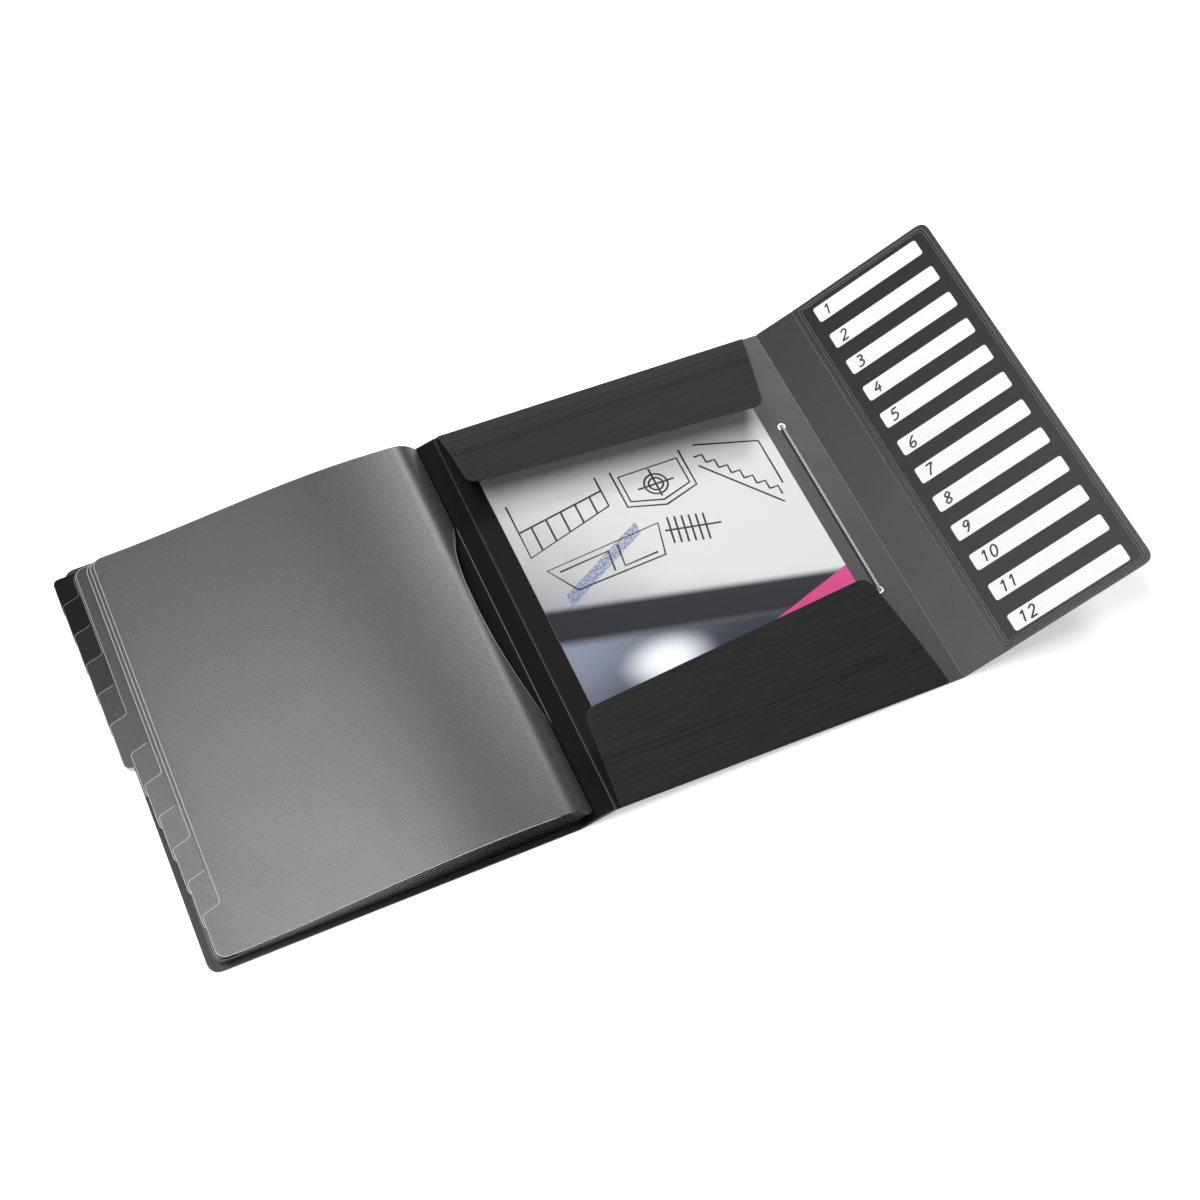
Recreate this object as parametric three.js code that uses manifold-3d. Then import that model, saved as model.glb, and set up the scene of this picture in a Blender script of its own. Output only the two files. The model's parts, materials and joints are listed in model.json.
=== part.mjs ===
// An A4 sorting folder lying fully open: front cover with twelve tabbed dividers, spine,
// back panel with two ribbed pocket flaps and an elastic cord, gusset and closing flap.
// Millimetres, +Z up. X runs along the open folder towards the closing flap, Y up its pages.

import * as THREE from 'three';
import { mergeVertices } from 'three/addons/utils/BufferGeometryUtils.js';
import Module from 'manifold-3d';

// Panels of the folder, measured flat from fold to fold.
const panel_height = 319;
const panel_thickness = 1;
const spine_width = 27.56;
const gusset_width = 31.8;
const closing_flap_width = 116.7;
const cover_corner_radius = 9;
const closing_flap_corner_radius = 8;
// The front cover stops short of the back panel's free fold, which clears the gusset.
const front_cover_setback = 9.3;
// The scored line of each fold leaves this much between two panels.
const fold_gap = 0.6;
// Clearance between a loose or glued layer and the layer below it.
const layer_gap = 0.05;

// How the open folder lies: slopes of its panels from the table, in degrees.
const back_panel_fall = 1.9;
const gusset_rise = 26.5;
const closing_flap_rise = 28.5;

// Black lining of the spine, with the welded line that binds the dividers.
const spine_lining_thickness = 0.4;
const spine_lining_margin = 1.2;
const binding_ridge_width = 1.6;
const binding_ridge_height = 0.6;

// Dividers: two groups of six, the upper group set back from the tabs below.
const divider_count = 12;
const dividers_in_group = 6;
const divider_margin = 4;
const divider_thickness = 0.42;
const divider_spacing = 0.72;
const divider_fold_clearance = 0.8;
// The sheets' bound edges lean back from the fold by this share of their height.
const divider_end_lean = 0.3;
const lower_divider_setback = 0.55;
const upper_group_setback = 9.2;
const upper_divider_setback = 1.35;
const divider_corner_radius = 7;
const tab_reach = 13.2;
const tab_fold_clearance = 0.8;
const first_tab_overrun = 7.3;
const last_tab_length = 36.7;
const tab_overlap = 14.7;
const tab_shoulder_drop = 5.2;
const tab_shoulder_radius = 3.4;
const tab_end_radius = 4.5;
// The sheets swell up towards the spine: the height and reach of that swelling.
const divider_swell_height = 14.7;
const divider_swell_end = 200;
const divider_swell_crest = 80;
const divider_swell_inner_crest = 50;
const divider_swell_inner_share = 0.8;
const divider_profile_steps = 16;

// Pocket on the back panel: a black sheet whose two flaps fold in over a document.
const pocket_base_undercut = 3.2;
const pocket_base_margin = 0.8;
const pocket_sheet_thickness = 0.5;
const pocket_flap_thickness = 0.7;
const pocket_flap_hinge_inset = 0.35;
const pocket_flap_hinge_rise = 1;
const pocket_flap_side_inset = 1.6;
const pocket_flap_end_inset = 12.4;
const pocket_flap_outer_depth = 80.6;
const pocket_flap_inner_depth = 62;
const pocket_flap_end_slant = 25.2;
const pocket_flap_corner_radius = 9;
// The flap curls off its fold in three flat zones, each with its length and its slope.
const fold_zone_length = 15;
const scored_zone_length = 16.5;
const free_zone_length = 60;
const pocket_flap_zones = [
  { length: fold_zone_length, slope: 25 },
  { length: scored_zone_length, slope: 22.5 },
  { length: free_zone_length, slope: 18.6 },
];
const rib_pitch = 1.9;
const rib_height = 0.25;
const score_depth = 0.35;
const score_width = 1.1;
const score_pair_gap = 4;

// A4 document in the pocket.
const document_width = 210;
const document_height = 297;
const document_thickness = 1.2;
const document_inset = 15.2;

// Elastic cord between two eyelets near the free side of the back panel.
const elastic_diameter = 2;
const document_to_elastic = 13;
const elastic_inset = 20.4;
const eyelet_spread = 151.5;
const eyelet_flange_diameter = 6.4;
const eyelet_bore_diameter = 3.2;
const eyelet_wall = 0.5;
const eyelet_flange_thickness = 0.35;
const eyelet_clearance = 0.3;
const elastic_bend_radius = 1.9;
const elastic_steps = 72;

// Index panel on the closing flap, with twelve label fields.
const index_panel_thickness = 0.4;
const index_panel_margin = 3;
const label_count = 12;
const label_width = 89.4;
const label_height = 13.6;
const label_thickness = 0.15;
const label_inset = 14.1;
const label_top_margin = 9.3;
const label_bottom_margin = 7.9;
const label_corner_radius = 2.2;

// Sizes that follow from those above.
const back_panel_width = document_inset + document_width + document_to_elastic + elastic_inset;
const front_cover_width = back_panel_width - front_cover_setback;
const divider_height = panel_height - 2 * divider_margin;
const lower_divider_width = back_panel_width - tab_fold_clearance - tab_reach;
const upper_divider_width = lower_divider_width - upper_group_setback;
const tab_pitch = (divider_height + first_tab_overrun - last_tab_length) / (divider_count - 1);
const tab_length = tab_pitch + tab_overlap;
const pocket_base_width = document_inset + document_width - pocket_base_undercut;
const pocket_flap_left = fold_gap + pocket_flap_side_inset;
const pocket_flap_hinge_length = back_panel_width - pocket_flap_end_inset - pocket_flap_side_inset;
const score_distances = [
  fold_zone_length,
  fold_zone_length + scored_zone_length - score_pair_gap,
  fold_zone_length + scored_zone_length,
];
const label_span = panel_height - label_top_margin - label_bottom_margin - label_height;
const label_pitch = label_span / (label_count - 1);

const wasm = await Module();
wasm.setup();

const finishes = {
  cover_plastic: { color: 0x585657, roughness: 0.62, metalness: 0 },
  divider_plastic: { color: 0x8a888a, roughness: 0.6, metalness: 0 },
  black_plastic: { color: 0x232323, roughness: 0.55, metalness: 0 },
  ribbed_plastic: { color: 0x363a39, roughness: 0.55, metalness: 0 },
  index_plastic: { color: 0x5a5859, roughness: 0.5, metalness: 0 },
  label_paper: { color: 0xf2f2f2, roughness: 0.8, metalness: 0 },
  document_paper: { color: 0xd9dcdd, roughness: 0.6, metalness: 0 },
  elastic_cloth: { color: 0x8b8b8b, roughness: 0.9, metalness: 0 },
  eyelet_metal: { color: 0xc9c9c9, roughness: 0.3, metalness: 1 },
};

const material = (finish) => new THREE.MeshStandardMaterial(finishes[finish]);

const radians = (degrees) => THREE.MathUtils.degToRad(degrees);

function namedMesh(name, geometry, finish) {
  const mesh = new THREE.Mesh(geometry, material(finish));
  mesh.name = name;
  return mesh;
}

// Turns a closed three.js geometry into a solid that can be cut and joined.
function solidOf(geometry) {
  const bare = geometry.clone();
  bare.deleteAttribute('normal');
  bare.deleteAttribute('uv');
  const merged = mergeVertices(bare);
  return new wasm.Manifold(new wasm.Mesh({
    numProp: 3,
    vertProperties: new Float32Array(merged.attributes.position.array),
    triVerts: new Uint32Array(merged.index.array),
  }));
}

// Turns a solid back into a three.js geometry with flat faces.
function geometryOf(solid) {
  const mesh = solid.getMesh();
  const geometry = new THREE.BufferGeometry();
  geometry.setAttribute('position', new THREE.Float32BufferAttribute(mesh.vertProperties, 3));
  geometry.setIndex(Array.from(mesh.triVerts));
  const faceted = geometry.toNonIndexed();
  faceted.computeVertexNormals();
  return faceted;
}

// A closed outline through the given corners, each rounded by its own radius.
function roundedOutline(corners) {
  const shape = new THREE.Shape();
  corners.forEach((corner, i) => {
    const point = new THREE.Vector2(corner.x, corner.y);
    const before = corners[(i + corners.length - 1) % corners.length];
    const after = corners[(i + 1) % corners.length];
    const towards = (other) => new THREE.Vector2(other.x, other.y)
      .sub(point)
      .setLength(corner.radius)
      .add(point);
    const start = corner.radius ? towards(before) : point;
    if (i === 0) {
      shape.moveTo(start.x, start.y);
    } else {
      shape.lineTo(start.x, start.y);
    }
    if (corner.radius) {
      const end = towards(after);
      shape.quadraticCurveTo(point.x, point.y, end.x, end.y);
    }
  });
  shape.closePath();
  return shape;
}

// A flat sheet of the given outline, its underside at the given height.
function sheet(outline, thickness, bottom) {
  const geometry = new THREE.ExtrudeGeometry(outline, {
    depth: thickness,
    bevelEnabled: false,
    curveSegments: 5,
  });
  geometry.translate(0, 0, bottom);
  return geometry;
}

// A rectangle from left to right, with its corners at either end rounded.
function panelOutline(left, right, height, leftRadius, rightRadius) {
  return roundedOutline([
    { x: left, y: -height / 2, radius: leftRadius },
    { x: right, y: -height / 2, radius: rightRadius },
    { x: right, y: height / 2, radius: rightRadius },
    { x: left, y: height / 2, radius: leftRadius },
  ]);
}

// Stands a profile drawn in X and Z on the sheet's plane and draws it out along Y.
function drawnAlongY(profile, length) {
  const geometry = new THREE.ExtrudeGeometry(profile, {
    depth: length,
    bevelEnabled: false,
    curveSegments: 6,
  });
  geometry.applyMatrix4(new THREE.Matrix4().makeBasis(
    new THREE.Vector3(1, 0, 0),
    new THREE.Vector3(0, 0, 1),
    new THREE.Vector3(0, -1, 0),
  ));
  geometry.translate(0, length / 2, 0);
  return geometry;
}

// Draws a profile of Y and Z out along X, from the given start.
function drawnAlongX(profile, start, length) {
  const geometry = new THREE.ExtrudeGeometry(profile, { depth: length, bevelEnabled: false });
  geometry.applyMatrix4(new THREE.Matrix4().makeBasis(
    new THREE.Vector3(0, 1, 0),
    new THREE.Vector3(0, 0, 1),
    new THREE.Vector3(1, 0, 0),
  ));
  geometry.translate(start, 0, 0);
  return geometry;
}

// Spine: a panel that leans from the back panel down to the front cover, and its lining.
function spinePanel() {
  const outline = panelOutline(-spine_width + fold_gap / 2, -fold_gap / 2, panel_height, 0, 0);
  return namedMesh('spine_panel', sheet(outline, panel_thickness, -panel_thickness), 'cover_plastic');
}

function spineLining() {
  const left = -spine_width + spine_lining_margin;
  const right = -spine_lining_margin;
  const middle = (left + right) / 2;
  const bottom = layer_gap;
  const top = bottom + spine_lining_thickness;
  const crest = top + binding_ridge_height;
  const profile = new THREE.Shape();
  profile.moveTo(left, bottom);
  profile.lineTo(right, bottom);
  profile.lineTo(right, top);
  profile.lineTo(middle + binding_ridge_width / 2, top);
  profile.quadraticCurveTo(middle, crest + binding_ridge_height, middle - binding_ridge_width / 2, top);
  profile.lineTo(left, top);
  profile.closePath();
  return namedMesh('spine_lining', drawnAlongY(profile, panel_height - 2 * spine_lining_margin),
    'black_plastic');
}

function frontCover() {
  const outline = panelOutline(-front_cover_width, -fold_gap / 2, panel_height, cover_corner_radius, 0);
  return namedMesh('front_cover', sheet(outline, panel_thickness, -panel_thickness), 'cover_plastic');
}

// Share of the full swelling that the top divider has at a distance from the spine fold.
function swellShare(distance) {
  const outer = 1 - THREE.MathUtils.smoothstep(distance, divider_swell_crest, divider_swell_end);
  const inward = Math.max(0, 1 - distance / divider_swell_inner_crest);
  return outer * (1 - (1 - divider_swell_inner_share) * inward ** 2);
}

// Height of a divider's underside above the cover, rising more for the sheets higher up.
function dividerHeightAt(distance, number) {
  const flat = divider_spacing * number - divider_thickness;
  return flat + divider_swell_height * swellShare(distance) * number / divider_count;
}

function dividerWidth(number) {
  if (number <= dividers_in_group) {
    return lower_divider_width - lower_divider_setback * (number - 1);
  }
  return upper_divider_width - upper_divider_setback * (number - 1 - dividers_in_group);
}

function dividerProfile(number, reach) {
  const lean = divider_end_lean * dividerHeightAt(divider_fold_clearance, number);
  const start = divider_fold_clearance + lean;
  const step = (reach - start) / divider_profile_steps;
  const under = [];
  for (let i = 0; i <= divider_profile_steps; i += 1) {
    const distance = start + step * i;
    under.push(new THREE.Vector2(-distance, dividerHeightAt(distance, number)));
  }
  const over = under.map((point) => new THREE.Vector2(point.x, point.y + divider_thickness));
  return new THREE.Shape([...under, ...over.reverse()]);
}

// Plan of a divider: its tab starts with an S-shaped shoulder and ends in a round corner.
function dividerOutline(number) {
  const half = divider_height / 2;
  const edge = -dividerWidth(number);
  const outer = edge - tab_reach;
  const start = half + first_tab_overrun - tab_pitch * (number - 1);
  const end = Math.max(-half, start - tab_length);
  const isLowest = end === -half;
  const shape = new THREE.Shape();
  shape.moveTo(0, -half);
  shape.lineTo(0, half);
  if (start > half) {
    shape.lineTo(outer + tab_end_radius, half);
    shape.quadraticCurveTo(outer, half, outer, half - tab_end_radius);
  } else {
    const root = new THREE.Vector2(edge, start);
    const tip = new THREE.Vector2(outer, start - tab_shoulder_drop);
    const slant = tip.clone().sub(root).setLength(tab_shoulder_radius);
    shape.lineTo(edge + divider_corner_radius, half);
    shape.quadraticCurveTo(edge, half, edge, half - divider_corner_radius);
    shape.lineTo(edge, start + tab_shoulder_radius);
    shape.quadraticCurveTo(root.x, root.y, root.x + slant.x, root.y + slant.y);
    shape.lineTo(tip.x - slant.x, tip.y - slant.y);
    shape.quadraticCurveTo(tip.x, tip.y, tip.x, tip.y - tab_shoulder_radius);
  }
  const endRadius = isLowest ? divider_corner_radius : tab_end_radius;
  shape.lineTo(outer, end + endRadius);
  shape.quadraticCurveTo(outer, end, outer + endRadius, end);
  if (!isLowest) {
    shape.lineTo(edge, end);
    shape.lineTo(edge, -half + divider_corner_radius);
    shape.quadraticCurveTo(edge, -half, edge + divider_corner_radius, -half);
  }
  shape.closePath();
  return shape;
}

function divider(number) {
  const reach = dividerWidth(number) + tab_reach;
  const curved = solidOf(drawnAlongY(dividerProfile(number, reach + 1), divider_height + 2));
  const tall = divider_spacing * divider_count + divider_swell_height;
  const plan = solidOf(sheet(dividerOutline(number), tall + 2, -1));
  const name = `divider_${String(number).padStart(2, '0')}`;
  return namedMesh(name, geometryOf(curved.intersect(plan)), 'divider_plastic');
}

const elasticX = back_panel_width - elastic_inset;
const eyeletOuterBarrel = eyelet_bore_diameter / 2 + eyelet_wall;

function backPanel() {
  const outline = panelOutline(fold_gap / 2, back_panel_width - fold_gap / 2, panel_height, 0, 0);
  let panel = solidOf(sheet(outline, panel_thickness, -panel_thickness));
  for (const side of [-1, 1]) {
    const hole = new THREE.CylinderGeometry(
      eyeletOuterBarrel + eyelet_clearance,
      eyeletOuterBarrel + eyelet_clearance,
      panel_thickness * 3,
      20,
    );
    hole.rotateX(Math.PI / 2);
    hole.translate(elasticX, side * eyelet_spread / 2, -panel_thickness / 2);
    panel = panel.subtract(solidOf(hole));
  }
  return namedMesh('back_panel', geometryOf(panel), 'cover_plastic');
}

function pocketBase() {
  const outline = panelOutline(pocket_base_margin, pocket_base_width,
    panel_height - 2 * pocket_base_margin, 0, 0);
  return namedMesh('pocket_base', sheet(outline, pocket_sheet_thickness, layer_gap), 'black_plastic');
}

function pocketDocument() {
  const outline = panelOutline(document_inset, document_inset + document_width, document_height, 0, 0);
  const bottom = pocket_sheet_thickness + 2 * layer_gap;
  return namedMesh('document', sheet(outline, document_thickness, bottom), 'document_paper');
}

// Point of the flap's underside, as inward distance and height, at a distance along it.
function flapPointAt(distance) {
  const point = new THREE.Vector2(0, pocket_flap_hinge_rise);
  let left = distance;
  for (const zone of pocket_flap_zones) {
    const run = Math.min(left, zone.length);
    point.x += run * Math.cos(radians(zone.slope));
    point.y += run * Math.sin(radians(zone.slope));
    left -= run;
  }
  return point;
}

function flapSlopeAt(distance) {
  let end = 0;
  for (const zone of pocket_flap_zones) {
    end += zone.length;
    if (distance < end) {
      return radians(zone.slope);
    }
  }
  return radians(pocket_flap_zones.at(-1).slope);
}

// Point of the flap's ribbed face: a height along the flap's own normal.
function flapFacePoint(distance, height) {
  const slope = flapSlopeAt(distance);
  const point = flapPointAt(distance);
  return new THREE.Vector2(
    point.x - height * Math.sin(slope),
    point.y + height * Math.cos(slope),
  );
}

// Section of a pocket flap: smooth below, with fine ribs and deeper scored lines above.
function flapProfile(side) {
  const reach = pocket_flap_zones.reduce((sum, zone) => sum + zone.length, 0);
  const hinge = panel_height / 2 - pocket_flap_hinge_inset;
  const place = (point) => new THREE.Vector2(side * (hinge - point.x), point.y);
  const under = [0];
  pocket_flap_zones.forEach((zone) => under.push(under.at(-1) + zone.length));
  const points = under.map((distance) => place(flapPointAt(distance)));
  const ribs = Math.floor(reach / rib_pitch);
  const top = [];
  for (let i = 0; i < ribs; i += 1) {
    const valley = i * rib_pitch + rib_pitch / 4;
    const nearScore = score_distances.some((score) => Math.abs(score - valley) < rib_pitch / 2);
    if (nearScore) {
      const depth = pocket_flap_thickness - score_depth;
      top.push({ distance: valley - score_width / 4, height: pocket_flap_thickness });
      top.push({ distance: valley + score_width / 4, height: depth });
      top.push({ distance: valley + score_width * 3 / 4, height: pocket_flap_thickness });
    } else {
      top.push({ distance: valley, height: pocket_flap_thickness });
      top.push({ distance: valley + rib_pitch / 2, height: pocket_flap_thickness + rib_height });
    }
  }
  top.reverse().forEach((mark) => points.push(place(flapFacePoint(mark.distance, mark.height))));
  return new THREE.Shape(points);
}

function flapOutline(side) {
  const hinge = panel_height / 2 - pocket_flap_hinge_inset;
  const left = pocket_flap_left;
  const right = left + pocket_flap_hinge_length;
  const at = (x, depth, radius) => ({ x, y: side * (hinge - depth), radius });
  return roundedOutline([
    at(left, -1, 0),
    at(right, -1, 0),
    at(right, 1, 0),
    at(right - pocket_flap_end_slant, pocket_flap_outer_depth, pocket_flap_corner_radius),
    at(left, pocket_flap_inner_depth, pocket_flap_corner_radius),
  ]);
}

function pocketFlap(name, side) {
  const ribbed = solidOf(drawnAlongX(flapProfile(side), -1, pocket_flap_hinge_length + 4));
  const tall = pocket_flap_outer_depth;
  const plan = solidOf(sheet(flapOutline(side), tall, -tall / 4));
  return namedMesh(name, geometryOf(ribbed.intersect(plan)), 'ribbed_plastic');
}

// Eyelet: a flanged barrel through the back panel, turned about its own axis.
function eyelet(name, side) {
  const bore = eyelet_bore_diameter / 2;
  const flange = eyelet_flange_diameter / 2;
  const top = layer_gap + eyelet_flange_thickness;
  const bottom = -panel_thickness - layer_gap;
  const profile = [
    [bore, bottom],
    [eyeletOuterBarrel, bottom],
    [eyeletOuterBarrel, layer_gap],
    [flange, layer_gap],
    [flange, layer_gap + eyelet_flange_thickness / 2],
    [flange - eyelet_flange_thickness, top],
    [bore + eyelet_wall / 2, top],
    [bore, layer_gap],
    [bore, bottom],
  ].map(([x, y]) => new THREE.Vector2(x, y));
  const geometry = new THREE.LatheGeometry(profile, 20);
  geometry.rotateX(Math.PI / 2);
  geometry.translate(elasticX, side * eyelet_spread / 2, 0);
  return namedMesh(name, geometryOf(solidOf(geometry)), 'eyelet_metal');
}

// The cord comes up through one eyelet, runs flat over the panel and goes down the other.
function elasticCord() {
  const reach = eyelet_spread / 2;
  const radius = elastic_diameter / 2;
  const bend = elastic_bend_radius;
  const foot = -panel_thickness;
  const run = layer_gap + eyelet_flange_thickness + eyelet_clearance + radius;
  const at = (y, z) => new THREE.Vector3(elasticX, y, z);
  const turn = (side) => new THREE.QuadraticBezierCurve3(
    at(side * reach, run - bend),
    at(side * reach, run),
    at(side * (reach - bend), run),
  );
  const down = turn(-1);
  const route = new THREE.CurvePath();
  route.add(new THREE.LineCurve3(at(reach, foot), at(reach, run - bend)));
  route.add(turn(1));
  route.add(new THREE.LineCurve3(at(reach - bend, run), at(bend - reach, run)));
  route.add(new THREE.QuadraticBezierCurve3(down.v2, down.v1, down.v0));
  route.add(new THREE.LineCurve3(at(-reach, run - bend), at(-reach, foot)));
  const section = new THREE.Shape().absarc(0, 0, radius, 0, 2 * Math.PI);
  const geometry = new THREE.ExtrudeGeometry(section, {
    steps: elastic_steps,
    curveSegments: 8,
    bevelEnabled: false,
    extrudePath: route,
  });
  return namedMesh('elastic_cord', geometryOf(solidOf(geometry)), 'elastic_cloth');
}

function gussetPanel() {
  const outline = panelOutline(fold_gap / 2, gusset_width - fold_gap / 2, panel_height, 0, 0);
  return namedMesh('gusset_panel', sheet(outline, panel_thickness, -panel_thickness), 'cover_plastic');
}

function closingFlap() {
  const outline = panelOutline(fold_gap / 2, closing_flap_width, panel_height, 0,
    closing_flap_corner_radius);
  return namedMesh('closing_flap', sheet(outline, panel_thickness, -panel_thickness), 'cover_plastic');
}

function indexPanel() {
  const outline = panelOutline(index_panel_margin, closing_flap_width - index_panel_margin,
    panel_height - 2 * index_panel_margin, 0, closing_flap_corner_radius - index_panel_margin);
  return namedMesh('index_panel', sheet(outline, index_panel_thickness, layer_gap), 'index_plastic');
}

function indexLabel(number) {
  const outline = panelOutline(label_inset, label_inset + label_width, label_height,
    label_corner_radius, label_corner_radius);
  const geometry = sheet(outline, label_thickness, index_panel_thickness + 2 * layer_gap);
  const top = panel_height / 2 - label_top_margin - label_pitch * (number - 1);
  geometry.translate(0, top - label_height / 2, 0);
  return namedMesh(`index_label_${String(number).padStart(2, '0')}`, geometry, 'label_paper');
}

// A group that carries one panel: placed at its fold and turned to its slope.
function atFold(x, z, fall, ...parts) {
  const group = new THREE.Group();
  group.position.set(x, 0, z);
  group.rotation.y = radians(fall);
  group.add(...parts);
  return group;
}

const numbersTo = (count) => Array.from({ length: count }, (_, i) => i + 1);

// Folds, from the back panel's free side on the table up to the spine and down to the cover.
const backFall = radians(back_panel_fall);
const backLow = panel_thickness * Math.cos(backFall);
const spineTop = backLow + back_panel_width * Math.sin(backFall);
const spineDrop = spineTop - panel_thickness;
const spineFall = Math.asin(spineDrop / spine_width);
const coverFoldX = -spine_width * Math.cos(spineFall);
const gussetFoldX = back_panel_width * Math.cos(backFall);
const flapFoldX = gussetFoldX + gusset_width * Math.cos(radians(gusset_rise));
const flapFoldZ = backLow + gusset_width * Math.sin(radians(gusset_rise));

const folder = new THREE.Group();
folder.add(
  atFold(0, spineTop, back_panel_fall,
    backPanel(),
    pocketBase(),
    pocketDocument(),
    eyelet('eyelet_upper', 1),
    eyelet('eyelet_lower', -1),
    elasticCord(),
    pocketFlap('upper_pocket_flap', 1),
    pocketFlap('lower_pocket_flap', -1)),
  atFold(0, spineTop, -THREE.MathUtils.radToDeg(spineFall), spinePanel(), spineLining()),
  atFold(coverFoldX, panel_thickness, 0, frontCover(), ...numbersTo(divider_count).map(divider)),
  atFold(gussetFoldX, backLow, -gusset_rise, gussetPanel()),
  atFold(flapFoldX, flapFoldZ, -closing_flap_rise,
    closingFlap(), indexPanel(), ...numbersTo(label_count).map(indexLabel)),
);

// The origin lies under the middle of the open folder.
folder.updateMatrixWorld(true);
const extent = new THREE.Box3().setFromObject(folder);
folder.position.x = -(extent.min.x + extent.max.x) / 2;
folder.updateMatrixWorld(true);

export default folder;
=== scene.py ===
"""Visual model of an A4 sorting folder that lies open with its twelve dividers."""

import json
import logging
import math
from dataclasses import dataclass
from enum import Enum
from functools import lru_cache
from typing import Any, Callable, Sequence

import bpy
from mathutils import Matrix, Vector


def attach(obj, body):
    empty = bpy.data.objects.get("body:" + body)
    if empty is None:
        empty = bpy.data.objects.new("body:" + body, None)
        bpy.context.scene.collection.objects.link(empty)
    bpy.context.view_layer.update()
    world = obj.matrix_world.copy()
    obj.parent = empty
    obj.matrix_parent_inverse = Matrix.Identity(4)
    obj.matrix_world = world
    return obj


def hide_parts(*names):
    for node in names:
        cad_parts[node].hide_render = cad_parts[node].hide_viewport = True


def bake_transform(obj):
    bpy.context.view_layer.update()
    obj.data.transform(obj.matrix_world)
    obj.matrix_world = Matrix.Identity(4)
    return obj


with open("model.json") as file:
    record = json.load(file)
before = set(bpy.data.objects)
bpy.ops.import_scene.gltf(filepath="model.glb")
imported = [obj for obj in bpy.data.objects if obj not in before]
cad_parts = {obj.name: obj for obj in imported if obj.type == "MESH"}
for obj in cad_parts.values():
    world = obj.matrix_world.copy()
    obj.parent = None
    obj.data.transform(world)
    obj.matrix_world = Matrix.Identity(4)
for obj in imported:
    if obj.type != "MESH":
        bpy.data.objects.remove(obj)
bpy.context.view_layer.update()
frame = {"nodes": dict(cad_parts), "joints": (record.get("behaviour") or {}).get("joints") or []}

logging.basicConfig(level=logging.INFO, format="%(message)s")
log = logging.getLogger("sorting_folder")

MM = 0.001
Colour = tuple[float, float, float]
Point = tuple[float, float]
Place = Callable[[float, float], Vector]
Line = tuple[Sequence[Vector], bool]

WHITE: Colour = (1.0, 1.0, 1.0)
WARM_GREY: Colour = (1.0, 0.965, 0.985)
EDGE_GREY: Colour = (1.0, 0.99, 0.99)
NOISE_ROUGHNESS = 0.55
FINE_GRAIN = 1500.0
FINE_RELIEF = 0.00003
FAINT_RELIEF = 0.00002


def grey(level: float, tint: Colour = WARM_GREY) -> Colour:
    """Returns a grey of the given linear level, tinted."""
    return (level * tint[0], level * tint[1], level * tint[2])


def smoothstep(value: float, low: float, high: float) -> float:
    """Returns 0 below low, 1 above high and a smooth rise between them."""
    t = min(1.0, max(0.0, (value - low) / (high - low)))
    return t * t * (3 - 2 * t)


def eased(t: float, start: float, leave: float, end: float, arrive: float) -> float:
    """Returns a smooth way from start to end at a share t, with the given slopes at both."""
    first = (2 * t ** 3 - 3 * t ** 2 + 1) * start + (t ** 3 - 2 * t ** 2 + t) * leave
    return first + (3 * t ** 2 - 2 * t ** 3) * end + (t ** 3 - t ** 2) * arrive


class Operation(Enum):
    """Math node operations that the finishes use."""

    ADD = "ADD"
    SUBTRACT = "SUBTRACT"
    MULTIPLY = "MULTIPLY"
    SINE = "SINE"
    ABSOLUTE = "ABSOLUTE"
    ROOT = "SQRT"
    ANGLE = "ARCTAN2"


class Value:
    """A shader socket that adds Math nodes when it stands in an expression."""

    def __init__(self, graph: "ShaderGraph", socket: bpy.types.NodeSocket) -> None:
        """Wraps an output socket of the given graph."""
        self.graph = graph
        self.socket = socket

    def math(self, operation: Operation, *others: "Value | float") -> "Value":
        """Returns the result of a Math node that starts from this value."""
        return self.graph.calculated(operation, self, *others)

    def __add__(self, other: "Value | float") -> "Value":
        """Returns the sum."""
        return self.math(Operation.ADD, other)

    def __sub__(self, other: "Value | float") -> "Value":
        """Returns the difference."""
        return self.math(Operation.SUBTRACT, other)

    def __rsub__(self, other: float) -> "Value":
        """Returns a number less this value."""
        return self.graph.calculated(Operation.SUBTRACT, other, self)

    def __mul__(self, other: "Value | float") -> "Value":
        """Returns the product."""
        return self.math(Operation.MULTIPLY, other)

    __radd__ = __add__
    __rmul__ = __mul__

    def between(self, low: float, high: float) -> "Value":
        """Returns a smooth rise from 0 at low to 1 at high; low may lie above high."""
        inputs = {0: self, 1: low, 2: high, 3: 0.0, 4: 1.0}
        return self.graph.value("ShaderNodeMapRange", "Result", inputs, interpolation_type="SMOOTHSTEP")

    def inside(self, low: float, high: float, fade: float) -> "Value":
        """Returns 1 from low to high and 0 outside, with soft ends of the given length."""
        return self.between(low - fade, low) * self.between(high + fade, high)


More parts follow.
